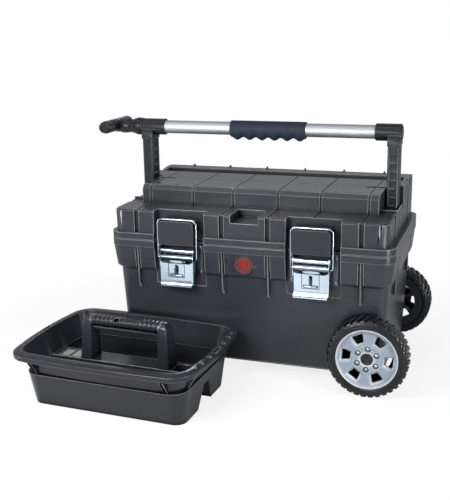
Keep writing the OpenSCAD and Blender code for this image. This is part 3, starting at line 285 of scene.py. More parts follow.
def put(name, mesh, stuff, body, slot, *replaced):
    """Hangs a finished mesh on its body and hides the solids it stands for."""
    mesh.materials.clear()
    mesh.materials.append(stuff)
    made = bpy.data.objects.new(name, mesh)
    bpy.context.scene.collection.objects.link(made)
    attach(made, body)
    if replaced:
        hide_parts(*replaced)
    return made


def smooth_by_angle(mesh, angle=38):
    for face in mesh.polygons:
        face.use_smooth = True
    mesh.set_sharp_from_angle(angle=math.radians(angle))


def even_shading(made):
    """Flat faces keep flat shading right up to their rounded edges."""
    even = made.modifiers.new("even_shading", "WEIGHTED_NORMAL")
    even.keep_sharp = True
    even.weight = 80
    return made


def eased(node, width, shortest=0.001, from_angle=32):
    """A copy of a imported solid's mesh, closed up, with its longer hard edges rounded."""
    bm = bmesh.new()
    bm.from_mesh(cad[node].data)
    bmesh.ops.remove_doubles(bm, verts=bm.verts, dist=2e-5)
    hard = [e for e in bm.edges if len(e.link_faces) == 2 and e.calc_length() > shortest
            and e.calc_face_angle(0) > math.radians(from_angle)]
    if width:
        bmesh.ops.bevel(bm, geom=hard, offset=width, offset_type="OFFSET", segments=2, profile=0.5,
                        affect="EDGES", clamp_overlap=False)
    mesh = bpy.data.meshes.new(node)
    bm.to_mesh(mesh)
    bm.free()
    smooth_by_angle(mesh)
    return mesh


def dress(name, node, width, stuff, body, slot, shortest=0.001):
    return even_shading(put(name, eased(node, width, shortest), stuff, body, slot, node))


shell = moulded("charcoal_shell", (0.0170, 0.0177, 0.0225), roughness=0.28, edge_highlight_and_wear=1.0, edge=0.0020, gloss=0.28)
dress("tub_moulding", "tub", 0.0008, shell, "case", "shell_plastic", 0.002)
dress("foot_blocks", "feet", 0.0015, shell, "case", "shell_plastic")

# Foot pads. Two soft rubber pads under the foot blocks, glued in.
pad_rubber = moulded("pad_rubber", (0.013, 0.013, 0.014), roughness=0.7, edge_highlight_and_wear=0.1)
dress("foot_rubbers", "foot_pads", 0.0010, pad_rubber, "case", "rubber")

# Axle. A plated steel rod through both wheels with washers pushed on.


def metal(name, colour, roughness, stretch=(1, 1, 1), fineness=300, haze=0.1):
    """Bare or plated metal with painted shade in its gaps, and fine marks drawn out along the stretch's short
    axis.
    """
    stuff = bpy.data.materials.new(name)
    stuff.use_nodes = True
    nodes, links = stuff.node_tree.nodes, stuff.node_tree.links
    shader = nodes["Principled BSDF"]
    shader.inputs["Metallic"].default_value = 1.0
    where = nodes.new("ShaderNodeTexCoord").outputs["Object"]
    drawn = nodes.new("ShaderNodeMapping")
    drawn.inputs["Scale"].default_value = stretch
    links.new(where, drawn.inputs["Vector"])
    marks = noise(nodes, links, drawn.outputs[0], fineness, 4)
    smear = noise(nodes, links, where, 23, 4)
    darker, brighter = [c * (1 - haze) for c in colour], [min(1, c * (1 + haze)) for c in colour]
    tint = mixed(nodes, links, marks, darker, brighter)
    # Painted shade: the colour is darkened in gaps and inner corners
    depth = ranged(nodes, links, room(nodes, 0.007), from_min=0.3, from_max=0.85, to_min=0.08)
    links.new(darkened(nodes, links, tint, depth), shader.inputs["Base Color"])
    shine = ranged(nodes, links, smear, from_min=0.3, from_max=0.7, to_min=roughness,
                   to_max=roughness + 0.08)
    links.new(shine, shader.inputs["Roughness"])
    links.new(relieved(nodes, links, marks, 0.4, 0.00002), shader.inputs["Normal"])
    return stuff


zinc = metal("zinc_steel", (0.58, 0.60, 0.63), 0.26)
dress("axle_rod", "axle", 0.0008, zinc, "case", "steel")
dress("axle_washer_set", "axle_washers", 0.0003, zinc, "case", "steel")

# Tyres. Black rubber over a hard core, with a fine ring on the wall and two rows of slanted
# shoulder blocks, half a step apart, moulded in one with it. Drawn with the outer face upwards.
tyre_width, tyre_blocks = 44, 34


def turned(bm, profile, steps=96):
    """Turns a profile of (radius, height) about Z. Without a point on the axis it closes to a ring."""
    angles = [2 * math.pi * i / steps for i in range(steps)]
    hoops = []
    for radius, height in profile:
        if radius < 1e-6:
            hoops.append([bm.verts.new((0, 0, height))])
            continue
        hoops.append([bm.verts.new((radius * math.cos(a), radius * math.sin(a), height)) for a in angles])
    pairs = list(zip(hoops, hoops[1:]))
    if profile[0][0] > 0 and profile[-1][0] > 0:
        pairs.append((hoops[-1], hoops[0]))
    for low, high in pairs:
        for i in range(steps):
            ring = [low[i % len(low)], low[(i + 1) % steps % len(low)],
                    high[(i + 1) % steps % len(high)], high[i % len(high)]]
            bm.faces.new(list(dict.fromkeys(ring)))


def joined(bm, rings):
    """Joins rings with the same number of points into a closed skin."""
    hoops = [[bm.verts.new(point) for point in ring] for ring in rings]
    count = len(hoops[0])
    for low, high in zip(hoops, hoops[1:]):
        for i in range(count):
            bm.faces.new((low[i], low[(i + 1) % count], high[(i + 1) % count], high[i]))
    bm.faces.new(hoops[0][::-1])
    bm.faces.new(hoops[-1])


def repeat_tree():
    """Copies of one piece about Z, with a little play in their turn."""
    tree = bpy.data.node_groups.new("repeated_piece", "GeometryNodeTree")
    for label, kind in (("Geometry", "Geometry"), ("Count", "Int"), ("First turn", "Float"),
                        ("Turn per piece", "Float"), ("Play", "Float"), ("Seed", "Int"),
                        ("Material", "Material")):
        tree.interface.new_socket(label, in_out="INPUT", socket_type="NodeSocket" + kind)
    tree.interface.new_socket("Geometry", in_out="OUTPUT", socket_type="NodeSocketGeometry")
    nodes, links = tree.nodes, tree.links
    given = nodes.new("NodeGroupInput")
    line = nodes.new("GeometryNodeMeshLine")
    links.new(given.outputs["Count"], line.inputs["Count"])
    line.inputs["Offset"].default_value = (0, 0, 0)
    number = nodes.new("GeometryNodeInputIndex")
    turn = nodes.new("ShaderNodeMath")
    turn.operation = "MULTIPLY_ADD"
    links.new(number.outputs[0], turn.inputs[0])
    links.new(given.outputs["Turn per piece"], turn.inputs[1])
    links.new(given.outputs["First turn"], turn.inputs[2])
    chance = nodes.new("FunctionNodeRandomValue")
    chance.data_type = "FLOAT"
    chance.inputs[2].default_value = -1.0
    chance.inputs[3].default_value = 1.0
    links.new(given.outputs["Seed"], chance.inputs["Seed"])
    loose = nodes.new("ShaderNodeMath")
    loose.operation = "MULTIPLY_ADD"
    links.new(chance.outputs[1], loose.inputs[0])
    links.new(given.outputs["Play"], loose.inputs[1])
    links.new(turn.outputs[0], loose.inputs[2])
    about = nodes.new("ShaderNodeCombineXYZ")
    links.new(loose.outputs[0], about.inputs["Z"])
    angle = nodes.new("FunctionNodeEulerToRotation")
    links.new(about.outputs[0], angle.inputs[0])
    copies = nodes.new("GeometryNodeInstanceOnPoints")
    links.new(line.outputs[0], copies.inputs["Points"])
    links.new(given.outputs["Geometry"], copies.inputs["Instance"])
    links.new(angle.outputs[0], copies.inputs["Rotation"])
    real = nodes.new("GeometryNodeRealizeInstances")
    links.new(copies.outputs[0], real.inputs[0])
    paint = nodes.new("GeometryNodeSetMaterial")
    links.new(real.outputs[0], paint.inputs["Geometry"])
    links.new(given.outputs["Material"], paint.inputs["Material"])
    out = nodes.new("NodeGroupOutput")
    links.new(paint.outputs[0], out.inputs[0])
    return tree


repeater = repeat_tree()


def repeated(bm, piece, stuff, count, first, each, play=0.0, seed=7):
    """Adds copies of a piece, made by the node tree, to a shape. Angles are in degrees."""
    mesh = bpy.data.meshes.new("one_piece")
    piece.to_mesh(mesh)
    piece.free()
    holder = bpy.data.objects.new("one_piece", mesh)
    bpy.context.scene.collection.objects.link(holder)
    copier = holder.modifiers.new("repeated_piece", "NODES")
    copier.node_group = repeater
    wanted = {"Count": count, "First turn": math.radians(first), "Turn per piece": math.radians(each),
              "Play": math.radians(play), "Seed": seed, "Material": stuff}
    for item in repeater.interface.items_tree:
        if item.in_out == "INPUT" and item.name in wanted:
            copier[item.identifier] = wanted[item.name]
    whole = bpy.data.meshes.new_from_object(holder.evaluated_get(bpy.context.evaluated_depsgraph_get()))
    bm.from_mesh(whole)
    holder.modifiers.clear()
    bpy.data.objects.remove(holder)
    bpy.data.meshes.remove(whole)


def rounded_off(bm, width, from_angle=30, steps=2):
    """Rounds the hard edges of a shape that is still drawn in millimetres."""
    hard = [e for e in bm.edges if len(e.link_faces) == 2
            and e.calc_face_angle(0) > math.radians(from_angle)]
    bmesh.ops.bevel(bm, geom=hard, offset=width, offset_type="OFFSET", segments=steps, profile=0.5,
                    affect="EDGES", clamp_overlap=True)


def set_down(name, bm, place):
    """Turns a shape drawn in millimetres into a mesh that stands in its place."""
    bm.transform(place @ Matrix.Scale(0.001, 4))
    bmesh.ops.recalc_face_normals(bm, faces=bm.faces)
    mesh = bpy.data.meshes.new(name)
    bm.to_mesh(mesh)
    bm.free()
    smooth_by_angle(mesh)
    return mesh


def wheel_place(end):
    """From a wheel drawn with its outer face upwards to its place on the axle."""
    side = -1 if end == "front" else 1
    axes = Matrix(((1, 0, 0, 0), (0, 0, side, 0), (0, 1, 0, 0), (0, 0, 0, 1)))
    axle_x, inner_face, axle_z = 254.8, 162, 55.3
    return Matrix.Translation(spot(axle_x, side * inner_face, axle_z)) @ axes


def tyre_mesh(end, stuff):
    bm = bmesh.new()
    half = [(60.7, 3.2), (61.4, 1.6), (63.0, 0.8), (66.2, 0.6), (66.5, 1.2), (67.1, 1.2), (67.4, 0.6),
            (70.5, 0.6), (72.6, 1.2), (74.8, 2.8), (76.2, 5.0), (76.7, 9.0), (76.7, 21.5)]
    turned(bm, half + [(r, tyre_width - h) for r, h in reversed(half)], 144)
    section = [(72.6, 1.5), (74.6, 1.4), (77.2, 2.6), (78.8, 4.8), (79.3, 7.0), (79.3, 20.6), (75.6, 20.9),
               (75.0, 5.0)]
    apart = 360 / tyre_blocks
    for flip in (False, True):
        block = bmesh.new()
        rings = []
        for part in (-1.0, -0.5, 0.5, 1.0):
            ring = []
            for r, h in section:
                slant = 2.6 * (h - 10) / 10
                angle = math.radians(part * (3.5 - 0.02 * h) + (slant if not flip else -slant))
                ring.append((r * math.cos(angle), r * math.sin(angle), tyre_width - h if flip else h))
            rings.append(ring)
        joined(block, rings)
        bmesh.ops.recalc_face_normals(block, faces=block.faces)
        rounded_off(block, 0.45, 35, 1)
        first = -90 + (apart / 2 if flip else 0)
        repeated(bm, block, stuff, tyre_blocks, first, apart, play=0.15, seed=3)
    return set_down(end + "_tyre_ring", bm, wheel_place(end))


tyre_rubber = moulded("tyre_rubber", (0.004, 0.0044, 0.006), roughness=0.2, edge_highlight_and_wear=0.07, edge=0.0006, cloud=30,
                      gloss=0.32)
for end in ("front", "rear"):
    put(end + "_tyre_ring", tyre_mesh(end, tyre_rubber), tyre_rubber, "wheel_" + end, "tyre", end + "_tyre")

# Wheel rims. A black ribbed core that carries the tyre, and snapped on it a silver-grey cover with
# a lip in two steps and six windows whose walls are drafted towards the back.


def rounded_outline(corners, radius, steps=5):
    """A closed outline through corners of (x, y), every corner rounded by the same radius."""
    outline = []
    count = len(corners)
    for i in range(count):
        here = Vector(corners[i])
        back = (Vector(corners[i - 1]) - here).normalized()
        ahead = (Vector(corners[(i + 1) % count]) - here).normalized()
        half = math.acos(max(-1, min(1, back.dot(ahead)))) / 2
        middle = here + (back + ahead).normalized() * radius / math.sin(half)
        start = here + back * radius / math.tan(half)
        first = start - middle
        last = here + ahead * radius / math.tan(half) - middle
        sweep = first.angle_signed(last)
        for k in range(steps + 1):
            turn = -sweep * k / steps
            outline.append((middle.x + first.x * math.cos(turn) - first.y * math.sin(turn),
                            middle.y + first.x * math.sin(turn) + first.y * math.cos(turn)))
    return outline


def prism(bm, outline, low, high, drawn_in=0.0):
    """An upright prism over an outline; its foot may be drawn in towards the outline's middle."""
    middle = sum((Vector(p) for p in outline), Vector((0, 0))) / len(outline)
    foot = []
    for p in outline:
        off = Vector(p) - middle
        foot.append(middle + off * (1 - drawn_in / max(off.length, 1e-6)))
    joined(bm, [[(p.x, p.y, low) for p in foot], [(p[0], p[1], high) for p in outline]])


def cut_away(bm, cutter):
    """Takes a cutter's shapes out of a shape and gives the rest back."""
    held = []
    for shape in (bm, cutter):
        bmesh.ops.recalc_face_normals(shape, faces=shape.faces)
        mesh = bpy.data.meshes.new("cutting")
        shape.to_mesh(mesh)
        shape.free()
        held.append(bpy.data.objects.new("cutting", mesh))
        bpy.context.scene.collection.objects.link(held[-1])
    knife = held[0].modifiers.new("cut", "BOOLEAN")
    knife.object = held[1]
    knife.solver = "EXACT"
    knife.use_self = True
    rest = bpy.data.meshes.new_from_object(held[0].evaluated_get(bpy.context.evaluated_depsgraph_get()))
    left = bmesh.new()
    left.from_mesh(rest)
    for used in held:
        bpy.data.objects.remove(used)
    bpy.data.meshes.remove(rest)
    return left


def box(bm, low, high):
    corners = [(low[0], low[1]), (high[0], low[1]), (high[0], high[1]), (low[0], high[1])]
    joined(bm, [[(x, y, low[2]) for x, y in corners], [(x, y, high[2]) for x, y in corners]])


# Where the first of each six stands, in degrees, and how far the bolts stand from the axle
spokes, first_bolt, first_window, first_rib = 6, 26, -5, 25
bolt_circle = 20.9


def round_the_wheel(bm, piece, stuff, first):
    repeated(bm, piece, stuff, spokes, first, 360 / spokes)


def rim_mesh(end, name, profile, stuff, ribbed):
    bm = bmesh.new()
    turned(bm, profile, 120)
    if ribbed:
        rib = bmesh.new()
        box(rib, (16, -2, 8), (56.8, 2, 31.5))
        round_the_wheel(bm, rib, stuff, first_rib)
    cutter = bmesh.new()
    window = bmesh.new()
    mouth = rounded_outline([(26.6, -12.8), (55.6, -18.6), (55.6, 18.6), (26.6, 12.8)], 5.5)
    throat = rounded_outline([(32.0, -7.4), (49.2, -11.2), (49.2, 11.2), (32.0, 7.4)], 3)
    prism(window, mouth, 33.0, 42, 8.4)
    prism(window, throat, 28, 34)
    bmesh.ops.recalc_face_normals(window, faces=window.faces)
    round_the_wheel(cutter, window, stuff, first_window)
    seat = bmesh.new()
    turned(seat, [(0, 37.6), (5.6, 37.6), (5.8, 42), (0, 42)], 32)
    bmesh.ops.translate(seat, verts=seat.verts, vec=(bolt_circle, 0, 0))
    bmesh.ops.recalc_face_normals(seat, faces=seat.faces)
    round_the_wheel(cutter, seat, stuff, first_bolt)
    return set_down(end + name, cut_away(bm, cutter), wheel_place(end))


cover = [(14.2, 33.6), (54.6, 33.6), (57.2, 36.0), (60.6, 36.2), (60.7, 42.4), (60.2, 43.3), (59.2, 43.5),
         (58.2, 43.3), (57.7, 42.6), (57.4, 42.1), (56.0, 41.9), (55.3, 41.3), (55.0, 40.0), (54.5, 39.4),
         (53.4, 39.2), (52.9, 38.8), (50.5, 38.7), (38, 39.3), (29, 40.0), (14.0, 40.0), (12.6, 39.7),
         (11.8, 38.8), (11.8, 37.7), (14.2, 37.7)]
core = [(9.0, 0.2), (16.6, 0.2), (17.0, 1.0), (17.6, 30.0), (56.3, 30.4), (56.3, 5.4), (44.4, 5.2),
        (44.0, 2.8), (57.4, 2.6), (60.6, 2.6), (60.6, 36.1), (57.2, 35.9), (54.6, 33.5), (14.1, 33.5),
        (14.1, 37.4), (9.0, 37.4)]
# A long edge reach paints the cover's lip paler all round: a painted highlight
rim_paint = moulded("rim_paint", (0.140, 0.170, 0.214), roughness=0.3, edge_highlight_and_wear=1.0, relief=0.00002,
                    edge=0.005)
black_fitting = moulded("black_fitting", (0.0065, 0.007, 0.0095), roughness=0.3, edge_highlight_and_wear=0.3, edge=0.001,
                        gloss=0.28)
for end in ("front", "rear"):
    cover_mesh = rim_mesh(end, "_wheel_cover", cover, rim_paint, False)
    put(end + "_wheel_cover", cover_mesh, rim_paint, "wheel_" + end, "rim_plastic", end + "_rim")
    core_mesh = rim_mesh(end, "_wheel_core", core, black_fitting, True)
    put(end + "_wheel_core", core_mesh, black_fitting, "wheel_" + end, "fitting_plastic")

# Wheel fittings. A black push-in cap hides each axle end, a black bush runs on the axle, and six
# plated dome bolts sit in black seat rings round the cap, the rings painted shade for the grooves round the
# bolts.


def cap_mesh(end):
    bm = bmesh.new()
    lid = [(0, 39.9), (9.6, 40.0), (10.4, 40.5), (11.0, 40.4), (11.5, 39.8), (11.6, 37.8), (0, 37.8)]
    turned(bm, lid, 72)
    return set_down(end + "_hub_lid", bm, wheel_place(end))


def bolt_mesh(end, stuff, profile, name):
    bm = bmesh.new()
    bolt = bmesh.new()
    turned(bolt, profile, 32)
    bmesh.ops.translate(bolt, verts=bolt.verts, vec=(bolt_circle, 0, 0))
    round_the_wheel(bm, bolt, stuff, first_bolt)
    return set_down(end + name, bm, wheel_place(end))


bolt_steel = metal("bolt_steel", (0.28, 0.32, 0.37), 0.36)
bright = metal("bright_nickel", (0.48, 0.565, 0.65), 0.12, fineness=120, haze=0.05)
dome = [(0, 41.2), (1.6, 41.1), (2.6, 40.7), (3.3, 40.0), (3.4, 38.4), (2.4, 38.2), (2.4, 33.6), (0, 33.6)]
seat_ring = [(3.5, 39.0), (3.9, 40.2), (5.4, 40.4), (6.1, 40.1), (5.5, 39.6), (5.5, 37.8), (3.5, 37.8)]
for end in ("front", "rear"):
    wheel = "wheel_" + end
    put(end + "_hub_lid", cap_mesh(end), black_fitting, wheel, "fitting_plastic", end + "_hub_cap")
    dress(end + "_wheel_bush", end + "_bush", 0.0004, black_fitting, wheel, "fitting_plastic")
    bolts = bolt_mesh(end, bolt_steel, dome, "_bolt_set")
    put(end + "_bolt_set", bolts, bolt_steel, wheel, "steel", end + "_bolts")
    # The seat rings are black as painted shade in the grooves round the bolts
    rings = bolt_mesh(end, pad_rubber, seat_ring, "_bolt_rings")
    put(end + "_bolt_rings", rings, pad_rubber, wheel, "rubber")

# Hinge pins. Three plated steel pins through the hinge knuckles at the back.
dress("hinge_pin_set", "hinge_pins", 0.0004, zinc, "case", "steel")

# Lid. A second charcoal moulding with a raised platform, fine lines over its top, wells for the
# arms and a finger recess; a rubber lip sits under it and two catches are screwed to its front.
dress("lid_moulding", "lid", 0.0008, shell, "lid", "shell_plastic", 0.002)
dress("lid_lip", "lid_seal", 0.0004, pad_rubber, "lid", "rubber")
# The catches take a darker copy of the shell plastic with a weaker painted edge highlight: painted shade
catch_stuff = moulded("catch_moulding", (0.012, 0.0127, 0.017), edge_highlight_and_wear=0.5, edge=0.0012, gloss=0.3)
dress("left_catch", "catch_left", 0.0010, catch_stuff, "lid", "shell_plastic")
dress("right_catch", "catch_right", 0.0010, catch_stuff, "lid", "shell_plastic")
dress("catch_screw_set", "catch_screws", 0.0004, zinc, "lid", "steel")
dress("arm_guide_pair", "arm_guides", 0.0006, black_fitting, "lid", "fitting_plastic")

# Draw latches. Bright nickel-plated pressed steel: a riveted base with a roller, a lever bent to a
# channel with a sunk field, hole and slot, its rolled top painted darker as shade, and a wire bail over the
# catch.


def at_latch(side):
    latch_from_middle = 140
    return Matrix.Translation(spot(-latch_from_middle if side == "left" else latch_from_middle, 0, 0))


def merged(bm, other):
    """Puts another shape into this one as it stands."""
    spare = bpy.data.meshes.new("spare")
    other.to_mesh(spare)
    other.free()
    bm.from_mesh(spare)
    bpy.data.meshes.remove(spare)


def lever_mesh(side):
    bm = bmesh.new()

    def channel(depth):
        """Outline of the bent sheet, seen from above, open to the back."""
        faces = []
        for reach, bend in ((-36.4, 4), (-34.9, 2.5)):
            half = [(reach, depth)]
            half += [(-32.4 - bend * math.cos(math.radians(a)), -184 - bend * math.sin(math.radians(a)))
                     for a in range(0, 91, 15)]
            faces.append(half + [(-x, y) for x, y in reversed(half)])
        return faces[0] + faces[1][::-1]

    levels = ((169.5, -181.5), (200, -176), (214.4, -172))
    joined(bm, [[(x, y, z) for x, y in channel(depth)] for z, depth in levels])
    lip = [(-188, 177), (-188.3, 173.4), (-189.2, 170.0), (-190.8, 167.0), (-193.2, 164.6), (-192.6, 163.6),
           (-189.6, 166.0), (-187.6, 169.6), (-186.6, 173.4), (-186.4, 177)]
    joined(bm, [[(x, y, z) for y, z in lip] for x in (-33.6, 33.6)])
    for s in (-1, 1):
        cheek = [(-187, 205), (-187.2, 226), (-184.6, 241.6), (-180, 243.8), (-175.4, 241.6), (-172.4, 236),
                 (-172, 214)]
        joined(bm, [[(x, y, z) for y, z in cheek] for x in (s * 34.9, s * 36.4)])
    lens = bmesh.new()
    bmesh.ops.create_uvsphere(lens, u_segments=32, v_segments=16, radius=1)
    lens.transform(Matrix.Translation((0, -184.6, 215.0)) @ Matrix.Diagonal((19, 3.2, 2.5, 1)))
    merged(bm, lens)
    cutter = bmesh.new()

    def sunk(corners, radius, front, back):
        outline = rounded_outline(corners, radius)
        joined(cutter, [[(x, y, z) for x, z in outline] for y in (front, back)])

    sunk([(-17, 183.4), (17, 183.4), (17, 210.6), (-17, 210.6)], 1.2, -189, -187.1)
    for low, high in (((-18.2, 182.2), (18.2, 183.2)), ((-18.2, 210.8), (18.2, 211.8)),
                      ((-18.2, 182.2), (-17.2, 211.8)), ((17.2, 182.2), (18.2, 211.8))):
        box(cutter, (low[0], -190, low[1]), (high[0], -186.8, high[1]))
    sunk([(-3, 191.6), (3, 191.6), (3, 208.8), (-3, 208.8)], 1.4, -190, -185)
    sunk([(-15, 184.6), (15, 184.6), (15, 190), (-15, 190)], 2.2, -190, -185)
    sunk([(-31, 211.8), (31, 211.8), (31, 218), (-31, 218)], 2.6, -190, -185.4)
    bm = cut_away(bm, cutter)
    tongue = bmesh.new()
    turned(tongue, [(0, -13.2), (1.3, -12.6), (1.9, -11.4), (1.9, 11.4), (1.3, 12.6), (0, 13.2)], 24)
    bmesh.ops.rotate(tongue, verts=tongue.verts, matrix=Matrix.Rotation(math.pi / 2, 3, "Y"))
    bmesh.ops.translate(tongue, verts=tongue.verts, vec=(0, -187.0, 186.8))
    merged(bm, tongue)
    return set_down(side + "_lever", bm, at_latch(side))


def roll_mesh(side):
    """The lever's rolled top, a hollow roll of the same sheet with a bead at either end."""
    bm = bmesh.new()
    turned(bm, [(0, -36.4), (6.4, -36.4), (7.0, -35.8), (7.0, -34.4), (6.5, -34.0), (6.5, 34.0), (7.0, 34.4),
                (7.0, 35.8), (6.4, 36.4), (0, 36.4)], 40)
    bmesh.ops.rotate(bm, verts=bm.verts, matrix=Matrix.Rotation(math.pi / 2, 3, "Y"))
    bmesh.ops.translate(bm, verts=bm.verts, vec=(0, -180.9, 222.4))
    return set_down(side + "_lever_roll", bm, at_latch(side))


def wire(bm, path, radius, sides=16):
    """A round wire along a path in the X Z plane, with closed ends."""
    rings = []
    for i, here in enumerate(path):
        along = (Vector(path[min(i + 1, len(path) - 1)]) - Vector(path[max(i - 1, 0)])).normalized()
        across = Vector((-along.z, 0, along.x))
        rings.append([Vector(here) + radius * (math.cos(2 * math.pi * k / sides) * across
                                               + math.sin(2 * math.pi * k / sides) * Vector((0, 1, 0)))
                      for k in range(sides)])
    joined(bm, rings)


def bail_mesh(side):
    bm = bmesh.new()
    half, low, top, bend = 41.7, 221.0, 301.3, 10.0
    path = [(32.5, -180, low), (38.5, -180, low)]
    path += [(half - 3 + 3 * math.sin(a), -180, low + 3 - 3 * math.cos(a)) for a in (0.4, 0.8, 1.2, 1.57)]
    for a in range(0, 91, 10):
        across, up = bend * math.cos(math.radians(a)), bend * math.sin(math.radians(a))
        path.append((half - bend + across, -180, top - bend + up))
    wire(bm, path + [(-x, y, z) for x, y, z in reversed(path)], 1.6)
    return set_down(side + "_bail_wire", bm, at_latch(side))


# Darker copies of the lever's nickel: painted shade and a painted dark reflection on the base plate, the
# rolled top and the rivets
shaded = metal("shaded_nickel", (0.085, 0.095, 0.115), 0.3, fineness=120, haze=0.05)
half_shaded = metal("half_shaded_nickel", (0.16, 0.185, 0.22), 0.1, fineness=120, haze=0.05)
for side in ("left", "right"):
    dress(side + "_latch_plate", "latch_base_" + side, 0.0005, shaded, "case", "steel")
    dress(side + "_latch_roller", "latch_pin_" + side, 0.0004, bright, "case", "steel")
    put(side + "_lever", lever_mesh(side), bright, "latch_lever_" + side, "chrome", "latch_lever_" + side)
    put(side + "_lever_roll", roll_mesh(side), half_shaded, "latch_lever_" + side, "chrome")
    put(side + "_bail_wire", bail_mesh(side), bright, "latch_bail_" + side, "chrome", "latch_bail_" + side)
dress("latch_rivet_set", "latch_rivets", 0.0003, half_shaded, "case", "steel")

# Badge. A plain red moulded disc with two raised rings, set in a black rubber ring, with a second
# black rubber ring let in between its own two as painted shade in the groove there.


def badge_part(name, *profiles):
    bm = bmesh.new()
    for profile in profiles:
        turned(bm, profile, 72)
    badge_place = Matrix.Translation(spot(0, -169, 215)) @ Matrix.Rotation(math.pi / 2, 4, "X")
    return set_down(name, bm, badge_place)


badge_red = moulded("badge_red", (0.145, 0.005, 0.004), roughness=0.3, edge_highlight_and_wear=0.05, relief=0.00001, gloss=0.3)
disc = [(0, 3.4), (8.6, 3.4), (9.0, 4.6), (10.6, 4.6), (11.0, 3.4), (14.6, 3.4), (15.0, 4.4), (16.2, 4.4),
        (16.8, 3.6), (16.9, 0.2), (0, 0.2)]
outer_ring = [(16.9, 0.1), (16.9, 4.4), (17.3, 4.9), (18.3, 4.9), (18.9, 4.0), (18.9, 0.1)]
# The inner ring is painted shade for the groove between the disc's raised rings
inner_ring = [(11.6, 2.0), (11.6, 3.7), (12.0, 4.0), (13.4, 4.0), (13.8, 3.7), (13.8, 2.0)]
put("badge_disc", badge_part("badge_disc", disc), badge_red, "case", "badge", "badge")
put("badge_ring", badge_part("badge_ring", outer_ring, inner_ring), pad_rubber, "case", "rubber")

# Carry handle. Two ribbed plastic arms, a tee on each held by a screw, a drawn aluminium tube
# with a plastic end cap, and a soft navy grip with finger waves pushed over its middle.
arm_stuff = moulded("arm_moulding", (0.009, 0.0098, 0.0135), edge_highlight_and_wear=0.7, gloss=0.28)
drawn_alloy = metal("drawn_alloy", (0.36, 0.38, 0.405), 0.5, stretch=(0.03, 1, 1), fineness=900, haze=0.16)
grip_rubber = moulded("grip_rubber", (0.009, 0.0135, 0.025), roughness=0.6, edge_highlight_and_wear=0.2, gloss=0.18)
dress("left_arm", "arm_left", 0.0010, arm_stuff, "handle", "arm_plastic")
dress("right_arm", "arm_right", 0.0010, arm_stuff, "handle", "arm_plastic")
dress("left_tee", "collar_left", 0.0012, black_fitting, "handle", "fitting_plastic")
dress("right_tee", "collar_right", 0.0012, black_fitting, "handle", "fitting_plastic")
dress("bar_tube", "crossbar", 0.0004, drawn_alloy, "handle", "aluminium_tube")
dress("bar_end_cap", "end_cap", 0.0008, black_fitting, "handle", "fitting_plastic")
dress("tee_screws", "collar_screws", 0.0004, zinc, "handle", "steel")
dress("stop_plates", "arm_stops", 0.0006, black_fitting, "handle", "fitting_plastic")


bar_middle_y, bar_middle_z = -6, 466


def grip_mesh():
    """A round grip that hangs down in finger waves, its rim eased off at both ends."""
    length, radius, waves, stations, sides = 164, 17, 6, 144, 56
    eased_off = {-2: (0, 1.6), -1: (0.5, 0.45), 0: (1.6, 0), stations: (-1.6, 0),
                 stations + 1: (-0.5, 0.45), stations + 2: (0, 1.6)}
    bm = bmesh.new()
    rings = []
    for i in range(-2, stations + 3):
        shift, inset = eased_off.get(i, (0, 0))
        x = max(0, min(stations, i)) * length / stations + shift
        floor = -21 - 3 * math.cos(2 * math.pi * (x * waves / length - 0.5))
        ring = []
        for k in range(sides):
            across, up = math.cos(2 * math.pi * k / sides), math.sin(2 * math.pi * k / sides)
            y, z = (radius - inset) * across, (radius - inset) * up
            if z < 0:
                y = y if abs(across) > 0.7 else radius * across
                z = max(up * (abs(floor) - inset) * (1 if abs(up) > 0.2 else 0.9), floor + inset)
            ring.append((x - length / 2, y, z))
        rings.append(ring)
    joined(bm, rings)
    return set_down("bar_grip", bm, Matrix.Translation(spot(3.5, bar_middle_y, bar_middle_z)))


put("bar_grip", grip_mesh(), grip_rubber, "handle", "grip_rubber", "grip")

# Tow grip. An inner alloy tube slides in the bar; outside it a turned lock ring, a stem with an
# oval press pad, and a round cross grip with four raised rings and a cap at each end.
dress("inner_tube", "tow_tube", 0.0004, drawn_alloy, "tow_handle", "aluminium_tube")
dress("inner_bush", "tow_bush", 0.0004, black_fitting, "tow_handle", "fitting_plastic")
along_bar = Matrix.Translation(spot(0, bar_middle_y, bar_middle_z)) @ Matrix.Rotation(math.pi / 2, 4, "Y")


def lock_ring_mesh():
    bm = bmesh.new()
    profile = [(11.8, -300.2), (16.0, -300.2), (17.2, -299.6), (18.4, -297.6), (18.9, -295), (19.0, -291),
               (18.7, -288.4), (17.7, -287.2), (17.3, -286.6), (17.3, -285.6), (18.1, -285.0), (18.2, -283.8),
               (17.2, -283.2), (17.2, -282.4), (17.8, -281.3), (14.1, -281.3), (14.1, -289), (11.8, -289)]
    turned(bm, profile, 96)
    return set_down("lock_ring", bm, along_bar)


def stem_mesh():
    bm = bmesh.new()
    profile = [(0, -350.6), (13.4, -350.6), (14.0, -349.6), (14.0, -336), (14.8, -334.6), (15.5, -333.4),
               (15.6, -326), (15.3, -321), (14.5, -317), (14.2, -314), (14.6, -310), (15.6, -305),
               (16.4, -302.4), (16.7, -301.4), (16.2, -301.2), (0, -301.2)]
    turned(bm, profile, 72)
    pad = bmesh.new()
    bmesh.ops.create_uvsphere(pad, u_segments=40, v_segments=20, radius=1)
    pad.transform(Matrix.Translation((-14.4, 0, -325)) @ Matrix.Diagonal((3.2, 8.0, 15.0, 1)))
    merged(bm, pad)
    return set_down("pull_stem", bm, along_bar)


